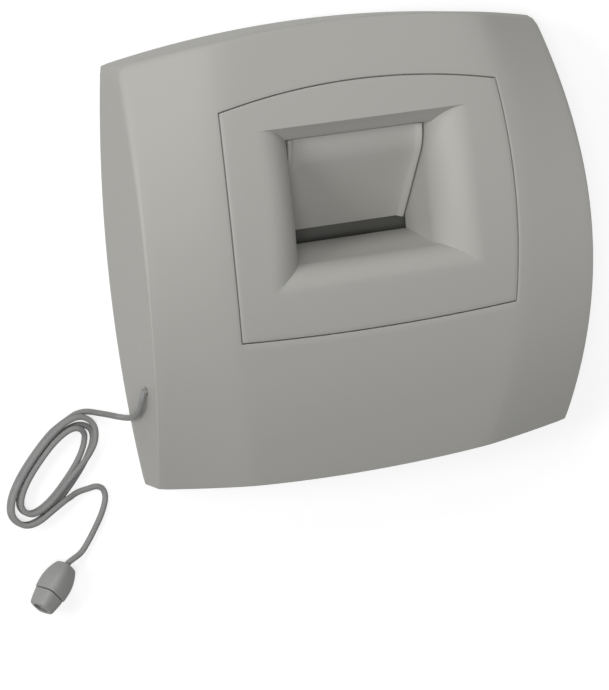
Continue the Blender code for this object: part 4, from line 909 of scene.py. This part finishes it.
def front_z(x, y):
    """Height of the front: the curved band, falling away past the crease to the wing's edge."""
    band = CROWN_Z - (y - CROWN_Y) ** 2 / (2 * BAND_RADIUS)
    wing = WING_Z - (y - WING_Y) ** 2 / (2 * WING_RADIUS)
    crease = crease_x(y)
    slope = (wing - band) / (outline_x(y) - crease)
    past = abs(x) - crease
    crisp, soft = CREASE_SOFTNESS
    softness = crisp + (soft - crisp) * ease(y, *CREASE_SPAN)
    return band + slope * (past + math.hypot(past, softness)) / 2


def on_front(point, drop=0.0):
    """The front's point over another, or the point a drop below it."""
    return Vector((point.x, point.y, front_z(point.x, point.y) - drop))


def front_point(u, v, inset=0.0, grow=0.0, drop=0.0):
    """Point of the casing's grid. U is 0 in the middle, 1 at the opening, 2 at the crease, 3 outside;
    V is -2 and 2 outside and -1 and 1 at the opening's bottom and top."""
    x = 0.0
    y = 0.0
    z = 0.0
    k = min(int(abs(u)), 2)
    for _ in range(8):
        shrink = inset + DRAFT * z
        opening = OPENING_X - (y - OPENING_MID_Y) ** 2 / (2 * OPENING_SIDE_RADIUS) + grow
        edges = (0, opening, crease_x(y), outline_x(y) - shrink)
        x = math.copysign(edges[k] + (edges[k + 1] - edges[k]) * (abs(u) - k), u)
        bottom = OPENING_BOTTOM + x ** 2 / (2 * OPENING_BOTTOM_RADIUS) - grow
        top = OPENING_TOP - x ** 2 / (2 * OPENING_TOP_RADIUS) + grow
        if v < -1:
            y = bottom + (shrink - outline_y(x, -1) - bottom) * (-1 - v)
        elif v > 1:
            y = top + (outline_y(x, 1) - shrink - top) * (v - 1)
        else:
            y = bottom + (top - bottom) * (v + 1) / 2
        z = front_z(x, y) - drop
    return Vector((x, y, z))


EDGE_ROLL = 0.0005
TOP_EDGE_ROLL = 0.0018
CORNER_ROLL = 0.0028
# Edges and corners get rounder over these spans
ROLL_SPAN = (-0.02, 0.075)
ROLL_ASIDE = (0.03, 0.085)
BOTTOM_CORNER_ROUND = 0.0007
TOP_CORNER_ROUND = 0.0042
ROUND_SPAN = (-0.05, 0.06)
ROUND_DEPTH = 0.026
RING_INSET = 0.0100
RING_OUTSET = 0.004
EDGE_APPROACH = (0.3, 0.65)
OPENING_ROUND = 0.0003
# Middle of a rounded edge, as a share of its size
MIDDLE = 0.3
# Wear by ring of the soft edge
EDGE_WEAR = {4: 0.1, 5: 0.2, 6: 0.1}
RIM_ROUND = 0.0004


def inside_by(x, y, z):
    """How far a point is inside the casing's outline at a level. Top corners are rounder in front."""
    share = ease(y, *ROUND_SPAN) * ease(z, 0, ROUND_DEPTH)
    radius = BOTTOM_CORNER_ROUND + (TOP_CORNER_ROUND - BOTTOM_CORNER_ROUND) * share
    side = outline_x(y) - DRAFT * z - abs(x)
    end = outline_y(x, y) - DRAFT * z - abs(y)
    if side < radius and end < radius:
        return radius - math.hypot(radius - side, radius - end)
    return min(side, end)


def edge_roll(x, y):
    """Size of the soft edge round the front: crisp below, full at the top corners."""
    rise = ease(y, *ROLL_SPAN)
    aside = ease(abs(x), *ROLL_ASIDE)
    return EDGE_ROLL + (TOP_EDGE_ROLL - EDGE_ROLL) * rise + (CORNER_ROLL - TOP_EDGE_ROLL) * rise * aside


def along_ray(ray, wanted, level=None):
    """Point of a ray that is as far inside the outline as wanted, on the front or at a level."""
    low = 0.0
    high = 1.0
    for _ in range(26):
        middle = (low + high) / 2
        spot = on_front(ray[0].lerp(ray[1], middle))
        if level is not None:
            spot.z = level
        if inside_by(*spot) > wanted:
            low = middle
        else:
            high = middle
    return spot


WING_COLUMNS = 10
CREASE_COLUMNS = 3
INSERT_COLUMNS = 40
BOTTOM_ROWS = 18
INSERT_ROWS = 32
TOP_ROWS = 9
COLUMNS = (steps(-3, -2, WING_COLUMNS) + steps(-2, -1, CREASE_COLUMNS) + steps(-1, 1, INSERT_COLUMNS)
           + steps(1, 2, CREASE_COLUMNS) + steps(2, 3, WING_COLUMNS) + [3])
ROWS = steps(-2, -1, BOTTOM_ROWS) + steps(-1, 1, INSERT_ROWS) + steps(1, 2, TOP_ROWS) + [2]


def border(columns, rows):
    """Grid places round the edge of a block of columns and rows, in one turn."""
    loop = [(u, rows[0]) for u in columns[:-1]]
    loop += [(columns[-1], v) for v in rows[:-1]]
    loop += [(u, rows[-1]) for u in reversed(columns[1:])]
    loop += [(columns[0], v) for v in reversed(rows[1:])]
    return loop


OUTER_BORDER = border(COLUMNS, ROWS)
OPENING_BORDER = border([u for u in COLUMNS if abs(u) <= 1], [v for v in ROWS if abs(v) <= 1])


RAYS = [(front_point(u, v, RING_INSET), front_point(u, v, -RING_OUTSET)) for u, v in OUTER_BORDER]


def edge_rings(wall):
    """Rings from the front's grid over the soft edge and down to the back rim, or their inner side."""
    starts = []
    corners = []
    ends = []
    down = Vector((0, 0, wall))
    for ray in RAYS:
        corner = along_ray(ray, wall) - down
        roll = edge_roll(corner.x, corner.y)
        starts.append(along_ray(ray, wall + roll) - down)
        corners.append(corner)
        ends.append(along_ray(ray, wall, corner.z - roll))
    rings = [[on_front(ray[0].lerp(start, share), wall) for ray, start in zip(RAYS, starts)]
             for share in EDGE_APPROACH]
    rings += [[bezier(a, b, c, k / 7) for a, b, c in zip(starts, corners, ends)] for k in range(8)]
    for share in steps(1, 0, 6)[1:] + [0]:
        rings.append([along_ray(ray, wall, RIM_ROUND + (end.z - RIM_ROUND) * share)
                      for ray, end in zip(RAYS, ends)])
    return rings


def add_front(bm, make_point):
    """Grid over the front with the opening left out. Returns its vertices by grid place."""
    verts = {}
    for u in COLUMNS:
        for v in ROWS:
            if not (abs(u) < 1 and abs(v) < 1):
                verts[u, v] = bm.verts.new(make_point(u, v))
    for u0, u1 in zip(COLUMNS[:-1], COLUMNS[1:]):
        for v0, v1 in zip(ROWS[:-1], ROWS[1:]):
            if not (-1 <= u0 and u1 <= 1 and -1 <= v0 and v1 <= 1):
                bm.faces.new((verts[u0, v0], verts[u1, v0], verts[u1, v1], verts[u0, v1]))
    return verts


def make_cover():
    """Domed shell with soft edges, a ledge round the insert's opening, bosses and the cord's hole."""
    bm = bmesh.new()
    rub = bm.verts.layers.float.new("rub")
    outside = add_front(bm, lambda u, v: front_point(u, v, RING_INSET, OPENING_ROUND))
    inside = add_front(bm, lambda u, v: front_point(u, v, RING_INSET, LEDGE_ROOT, WALL))
    seat = PANEL_THICKNESS + SLIDE_FIT

    def loop(points, worn=0.0):
        made = [bm.verts.new(point) for point in points]
        for vert in made:
            vert[rub] = worn
        return made

    def opening(grow, drop, worn=0.0):
        return loop([front_point(u, v, RING_INSET, grow, drop) for u, v in OPENING_BORDER], worn)

    outer = edge_rings(0.0)
    inner = edge_rings(WALL)
    rim = [loop([along_ray(ray, inset, 0.0) for ray in RAYS]) for inset in (RIM_ROUND, WALL - RIM_ROUND)]
    loops = [[outside[place] for place in OUTER_BORDER]]
    loops += [loop(ring, EDGE_WEAR.get(k, 0.0)) for k, ring in enumerate(outer)] + rim
    loops += [loop(ring) for ring in reversed(inner)] + [[inside[place] for place in OUTER_BORDER]]
    bridge(bm, loops)
    bridge(bm, (
        [outside[place] for place in OPENING_BORDER],
        opening(OPENING_ROUND * MIDDLE, OPENING_ROUND * MIDDLE, 1.0),
        opening(0.0, OPENING_ROUND, 0.5),
        opening(0.0, seat),
        opening(-LEDGE_WIDTH, seat),
        opening(-LEDGE_WIDTH, seat + LEDGE_THICKNESS),
        opening(LEDGE_ROOT, seat + LEDGE_THICKNESS),
        [inside[place] for place in OPENING_BORDER],
    ))
    cover = show_bmesh("cover_shell", bm)
    bosses = []
    bores = []
    bore = COVER_SCREW_DIAMETER / 2 + FIT
    depth = PLATE_THICKNESS + COVER_SCREW_LENGTH + FIT
    for x, y in BOSS_PLACES:
        foot = circle("Z", (x, y, PLATE_THICKNESS + FIT), BOSS_DIAMETER / 2, 32)
        bosses.append(([foot, [on_front(p, WALL / 2) for p in foot]], False))
        bores.append(rod("Z", (x, y, 0), PLATE_THICKNESS - FIT, depth, bore, 32))
    hole = EYELET_BORE / 2 + EYELET_WALL + EYELET_FIT
    bores.append(rod("X", (-HALF_WIDTH, CORD_Y, CORD_Z), -WALL, 4 * WALL, hole))
    cut(cover, bosses, "UNION")
    cut(cover, bores)
    belongs(cover, "housing", "casing", "front_cover")


def roll_in(depth, roll):
    """How far a rolled edge has come in at a depth below the front."""
    reach, height = roll
    share = min(max(depth / height, 0), 1)
    return reach * math.sqrt(1 - (1 - share) ** 2)


def funnel_at(depth, wall):
    """Half width, bottom and top of the funnel at a depth, or of its rear side with a wall."""
    rolls = [[size - wall for size in roll] for roll in (SIDE_ROLL, BOTTOM_ROLL)]
    within = depth - wall
    slope = FLOOR_SLOPE * max(0, depth - BOTTOM_ROLL[1])
    side = MOUTH_X - roll_in(within, rolls[0])
    bottom = MOUTH_BOTTOM + roll_in(within, rolls[1]) + slope
    top = MOUTH_TOP - TOP_ROLL[0] * min(depth / TOP_DEPTH, 1)
    return side, bottom, top + wall


RIM_STEPS = steps(-1, 1, 48) + [1]
INSERT_BORDER = border(RIM_STEPS, RIM_STEPS)
FUNNEL_DEPTH = 0.0145
TOP_DEPTH = 0.0066


def make_insert():
    """Clip-in panel with a rolled funnel that runs into a square channel."""

    def rectangle(side, bottom, top):
        return [Vector((u * side, bottom + (top - bottom) * (v + 1) / 2, 0)) for u, v in INSERT_BORDER]

    def panel_edge(grow, drop):
        return [front_point(u, v, 0.0, -INSERT_GAP - grow, drop) for u, v in INSERT_BORDER]

    mouth = rectangle(MOUTH_X, MOUTH_BOTTOM, MOUTH_TOP)
    rise = [front_z(p.x, p.y) - FUNNEL_FRONT_Z for p in mouth]

    def funnel_ring(depth, wall):
        fade = 1 - ease(depth, 0, FUNNEL_DEPTH)
        ring = rectangle(*funnel_at(depth, wall))
        return [Vector((p.x, p.y, FUNNEL_FRONT_Z - depth + up * fade)) for p, up in zip(ring, rise)]

    edge = panel_edge(OPENING_ROUND, 0.0)
    rings = [panel_edge(0.0, PANEL_THICKNESS), panel_edge(0.0, OPENING_ROUND),
             panel_edge(OPENING_ROUND * MIDDLE, OPENING_ROUND * MIDDLE), edge]
    for share in steps(0, 1, 10)[1:] + [1]:
        rings.append([on_front(a.lerp(b, share)) for a, b in zip(edge, mouth)])
    depths = [FUNNEL_DEPTH * (1 - math.cos(math.pi / 2 * k / 20)) for k in range(1, 21)]
    end = FUNNEL_FRONT_Z - CHANNEL_END_Z
    depths += steps(FUNNEL_DEPTH, end, 6)[1:] + [end]
    rings += [funnel_ring(depth, 0) for depth in depths]
    rings += [funnel_ring(depth, FUNNEL_WALL) for depth in reversed(depths) if depth > 2 * FUNNEL_WALL]
    rings.append([on_front(p, PANEL_THICKNESS + FIT) for p in mouth])
    bm = bmesh.new()
    rub = bm.verts.layers.float.new("rub")
    rows = add_rings(bm, rings)
    for vert in rows[2]:
        vert[rub] = 1.0
    insert = show_bmesh("inlet_grille", bm)
    hole = BUSH_OUTER / 2 + FIT
    near = CHANNEL_X - FUNNEL_WALL
    far = CHANNEL_X + 2 * FUNNEL_WALL
    cut(insert, [rod("X", (0, HINGE_Y, HINGE_Z), side * near, side * far, hole) for side in (-1, 1)])
    belongs(insert, "housing", "casing", "grille_insert")


LIP_WIDTH = 0.0026
LIP_RISE = 0.0012
LIP_SHAPE = 0.8
FLAP_ROUND = 0.0004


def make_flap():
    """Bent plate with a low sloped lip along each side, hung from a barrel on the axle."""
    along = (FLAP_TIP - FLAP_BEND).normalized()
    strip = (FLAP_BEND - FLAP_TOP).normalized()
    before = FLAP_BEND - strip * FLAP_BEND_REACH
    after = FLAP_BEND + along * FLAP_BEND_REACH
    face = [FLAP_TOP] + [bezier(before, FLAP_BEND, after, k / 12) for k in range(13)]
    face += [after.lerp(FLAP_TIP, k / 8) for k in range(1, 9)]
    normals = []
    for k in range(len(face)):
        ahead = (face[min(k + 1, len(face) - 1)] - face[max(k - 1, 0)]).normalized()
        normals.append(Vector((ahead.y, -ahead.x)))
    flat = FLAP_X - LIP_WIDTH - FLAP_ROUND
    across = [(-flat + 2 * flat * k / 10, 0.0) for k in range(11)]
    right = [(flat + LIP_WIDTH * k / 4, LIP_RISE * ease(k, 0, 4) ** LIP_SHAPE) for k in range(1, 5)]
    soft = FLAP_ROUND * MIDDLE
    right += [(FLAP_X - soft, LIP_RISE - soft), (FLAP_X, LIP_RISE - FLAP_ROUND),
              (FLAP_X, -FLAP_THICKNESS)]
    section = [(-x, h) for x, h in reversed(right)] + across + right
    rings = []
    for spot, normal in zip(face, normals):
        rings.append([(x, spot.x + normal.x * h, spot.y + normal.y * h) for x, h in section])
    flap = ring_piece("flap_plate", rings, around=False)
    axis = (0, HINGE_Y, HINGE_Z)
    cut(flap, [rod("X", axis, FIT - FLAP_X, FLAP_X - FIT, BARREL_DIAMETER / 2)], "UNION")
    cut(flap, [rod("X", axis, -CHANNEL_X, CHANNEL_X, BUSH_BORE / 2)])
    # The flap takes the paler colour: painted light in the recess.
    belongs(flap, "damper", "casing", "damper_flap", look="flap")


def keyhole(x, y):
    """Cutter for a keyhole: a wide hole below, and a slot that rises to the wall screw's seat."""
    wide = KEYHOLE_HEAD / 2
    slim = KEYHOLE_SLOT / 2
    neck = math.asin(slim / wide)
    outline = []
    for k in range(41):
        angle = math.pi / 2 + neck + (math.tau - 2 * neck) * k / 40
        outline.append((x + wide * math.cos(angle), y - KEYHOLE_DROP + wide * math.sin(angle)))
    for k in range(21):
        angle = math.pi * k / 20
        outline.append((x + slim * math.cos(angle), y + slim * math.sin(angle)))
    return [[(px, py, z) for px, py in outline] for z in (-PLATE_THICKNESS, 2 * PLATE_THICKNESS)]


def make_wall_plate():
    """Flat back plate with the duct hole, the groove for the foam, keyholes and sunk screw holes."""
    gap = WALL + FIT
    rings = []
    for level, inset in ((0.0, gap + RIM_ROUND), (RIM_ROUND, gap), (PLATE_THICKNESS, gap)):
        rings.append([along_ray(ray, inset, level) for ray in RAYS])
    plate = ring_piece("wall_plate", rings, around=False)
    middle = (0, DUCT_Y, 0)
    holes = [rod("Z", middle, -PLATE_THICKNESS, 2 * PLATE_THICKNESS, DUCT_RADIUS, DUCT_SIDES)]
    low = DUCT_RADIUS + GASKET_OFFSET
    high = low + GASKET_WIDTH
    deep = GASKET_DEPTH + FIT
    groove = ((-PLATE_THICKNESS, low), (-PLATE_THICKNESS, high), (deep, high), (deep, low))
    holes.append((turned("Z", middle, groove, DUCT_SIDES), True))
    for x in (-KEYHOLE_X, KEYHOLE_X):
        holes += [(keyhole(x, y), False) for y in KEYHOLE_YS]
    shank = COVER_SCREW_DIAMETER / 2 + FIT
    head = COVER_SCREW_HEAD / 2 + FIT
    sink = COVER_SCREW_HEAD_HEIGHT + 2 * FIT
    stepped = ((-PLATE_THICKNESS, head), (sink, head), (sink, shank), (2 * PLATE_THICKNESS, shank))
    holes += [(turned("Z", (x, y, 0), stepped), False) for x, y in BOSS_PLACES]
    cut(plate, holes)
    belongs(plate, "housing", "inner", "back_plate")


def make_gasket():
    """Foam ring in the groove, with a softly crowned face."""
    middle = DUCT_RADIUS + GASKET_OFFSET + GASKET_WIDTH / 2
    half = GASKET_WIDTH / 2 - FIT
    profile = []
    for k in range(20):
        angle = math.tau * k / 20
        across = signed_power(math.cos(angle), GASKET_ROUNDNESS)
        up = signed_power(math.sin(angle), GASKET_ROUNDNESS)
        profile.append((GASKET_DEPTH / 2 * (1 + up), middle + half * across))
    ring = ring_piece("gasket_ring", turned("Z", (0, DUCT_Y, 0), profile, 128))
    belongs(ring, "housing", "foam", "wall_gasket", sharp=50)


def make_eyelet():
    """Flanged eyelet in the left wall that the cord runs through."""
    bore = EYELET_BORE / 2
    outer = bore + EYELET_WALL
    rim = outer + EYELET_RIM
    shoulder = EYELET_FACE + WALL + 3 * FIT
    end = shoulder + EYELET_FLANGE
    profile = [(EYELET_FACE, outer), (shoulder, outer), (shoulder, rim), (end, rim), (end, bore),
               (EYELET_FACE + 2 * EYELET_FLARE, bore)]
    for k in range(1, 6):
        turn = math.pi / 2 * k / 6
        profile.append((EYELET_FACE + 2 * EYELET_FLARE * (1 - math.sin(turn)),
                        bore + EYELET_FLARE * (1 - math.cos(turn))))
    eyelet = ring_piece("cord_eyelet", turned("X", (0, CORD_Y, CORD_Z), profile))
    belongs(eyelet, "housing", "casing", "cord_bush")


make_cover()
make_insert()
make_flap()
make_wall_plate()
make_gasket()
make_eyelet()


# Repeated pieces from geometry trees

def geometry_tree(name, floats, vectors):
    """An empty geometry tree with named inputs. Returns it with a field for each input."""
    made = bpy.data.node_groups.new(name, "GeometryNodeTree")
    made.interface.new_socket("Geometry", in_out="INPUT", socket_type="NodeSocketGeometry")
    for kind, labels in (("NodeSocketFloat", floats), ("NodeSocketVector", vectors)):
        for label in labels:
            made.interface.new_socket(label, in_out="INPUT", socket_type=kind)
    made.interface.new_socket("Geometry", in_out="OUTPUT", socket_type="NodeSocketGeometry")
    tree = Tree(made)
    start = made.nodes.new("NodeGroupInput")
    return tree, {socket.name: Field(tree, socket) for socket in start.outputs if socket.name}


def close_tree(tree, shape, look):
    plain = tree.add("GeometryNodeRealizeInstances", {0: shape})
    tree.add("NodeGroupOutput", {0: tree.add("GeometryNodeSetMaterial",
                                             {"Geometry": plain, "Material": LOOKS[look]})})
    return tree.made


def union(tree, *shapes):
    joined = tree.add("GeometryNodeMeshBoolean", operation="UNION", solver="EXACT")
    for shape in shapes:
        tree.made.links.new(shape.socket, joined.socket.node.inputs[1])
    return joined


def lifted(tree, shape, height):
    up = tree.add("ShaderNodeCombineXYZ", {2: height})
    return tree.add("GeometryNodeTransform", {"Geometry": shape, "Translation": up})


def grown(name, tree, values, points):
    """A piece from a geometry tree on a few points, turned into a plain mesh."""
    mesh = bpy.data.meshes.new(name)
    mesh.from_pydata([tuple(p) for p in points], [], [])
    piece = show(name, mesh)
    step = piece.modifiers.new("grow", "NODES")
    step.node_group = tree
    for socket in tree.interface.items_tree:
        if socket.in_out == "INPUT" and socket.name in values:
            step[socket.identifier] = values[socket.name]
    piece.update_tag()
    bpy.context.view_layer.update()
    return settled(piece)


def screw_tree():
    """Pan head screw with a cross recess, one on each point, its head at the point."""
    tree, value = geometry_tree("cross_head_screw", SCREW_INPUTS[:-1], SCREW_INPUTS[-1:])
    head = tree.add("GeometryNodeMeshCylinder", {
        "Vertices": 40, "Radius": value["Head Diameter"] * 0.5, "Depth": value["Head Height"]})
    head = lifted(tree, head, value["Head Height"] * 0.5)
    shank = tree.add("GeometryNodeMeshCone", {
        "Vertices": 24, "Radius Bottom": value["Shank Diameter"] * 0.5,
        "Radius Top": value["Shank Diameter"] * SHANK_TIP, "Depth": value["Length"]})
    shank = lifted(tree, shank, value["Head Height"] * SHANK_SEAT)
    arms = []
    for along, wide in ((RECESS_LENGTH, RECESS_WIDTH), (RECESS_WIDTH, RECESS_LENGTH)):
        size = tree.add("ShaderNodeCombineXYZ", {
            0: value["Head Diameter"] * along, 1: value["Head Diameter"] * wide,
            2: value["Head Height"] * RECESS_DEPTH})
        arms.append(tree.add("GeometryNodeMeshCube", {"Size": size}))
    screw = tree.add("GeometryNodeMeshBoolean", {0: union(tree, head, shank), 1: union(tree, *arms)},
                     operation="DIFFERENCE", solver="EXACT")
    turn = tree.add("FunctionNodeEulerToRotation", {0: value["Turn"]})
    placed = tree.add("GeometryNodeInstanceOnPoints", {
        "Points": tree.add("GeometryNodeMeshToPoints", {0: value["Geometry"]}),
        "Instance": screw, "Rotation": turn})
    return close_tree(tree, placed, "steel")


def spring_tree():
    """Coil spring on a straight line, with its turns drawn in to a stub at each end."""
    tree, value = geometry_tree("extension_spring", ("Radius", "Wire", "Turns"), ("Start", "End"))
    line = tree.add("GeometryNodeCurvePrimitiveLine", {"Start": value["Start"], "End": value["End"]})
    line = tree.add("GeometryNodeResampleCurve", {"Curve": line, "Count": 400})
    share = tree.add("GeometryNodeSplineParameter")
    inner = (share - SPRING_STUB) / (1 - 2 * SPRING_STUB)
    reach = (inner.least(1 - inner) * SPRING_END_RISE).within(0.0, 1.0) ** 0.5 * value["Radius"]
    angle = inner * value["Turns"] * math.tau
    offset = tree.add("ShaderNodeCombineXYZ", {1: reach * angle.cosine(), 2: reach * angle.sine()})
    bent = tree.add("GeometryNodeSetPosition", {"Geometry": line, "Offset": offset})
    wire = tree.add("GeometryNodeCurvePrimitiveCircle", {"Resolution": 10, "Radius": value["Wire"] * 0.5})
    tube = tree.add("GeometryNodeCurveToMesh", {"Curve": bent, "Profile Curve": wire, "Fill Caps": True})
    return close_tree(tree, tube, "steel")


def make_screws(name, values, places):
    """A set of like screws, which stands for the numbered nodes of its name."""
    screws = grown(name + "s", SCREW_TREE, dict(zip(SCREW_INPUTS, values)), places)
    belongs(screws, "housing", "steel", *[f"{name}_{k + 1}" for k in range(len(places))])


def make_spring():
    spring = grown("coil_spring", spring_tree(), {
        "Start": (SPRING_LEFT, FOOT_Y, SPRING_Z), "End": (SPRING_RIGHT, FOOT_Y, SPRING_Z),
        "Radius": (SPRING_DIAMETER - SPRING_WIRE) / 2, "Wire": SPRING_WIRE, "Turns": float(SPRING_TURNS),
    }, [(0, 0, 0)])
    finish_mesh(spring.data, "steel", 60)
    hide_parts("return_spring")
    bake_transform(spring)


SCREW_TREE = screw_tree()
make_screws("cover_screw", COVER_SCREW, [(x, y, FIT) for x, y in BOSS_PLACES])
make_screws("bridge_screw", BRIDGE_SCREW, [(x, y, BRIDGE_SCREW_TOP) for x, y in BRIDGE_SCREW_PLACES])
make_spring()

# Solids that stay as they are, each with its finish
KEPT_SOLIDS = {
    "inner": ("air_box", "carriage_track", "spring_post"),
    "nylon": ("flap_bush_left", "flap_bush_right", "flap_crank", "pull_carriage", "timer_wheel",
              "timer_pinion", "governor_pinion", "axle_collar"),
    "steel": ("flap_axle", "timer_arbor", "governor_arbor"),
    "zinc_sheet": ("timer_base", "timer_bridge"),
    "brass": ("timer_pillar_1", "timer_pillar_2", "timer_pillar_3", "governor_drum"),
}
for look, names in KEPT_SOLIDS.items():
    for name in names:
        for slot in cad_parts[name].material_slots:
            slot.material = LOOKS[look]
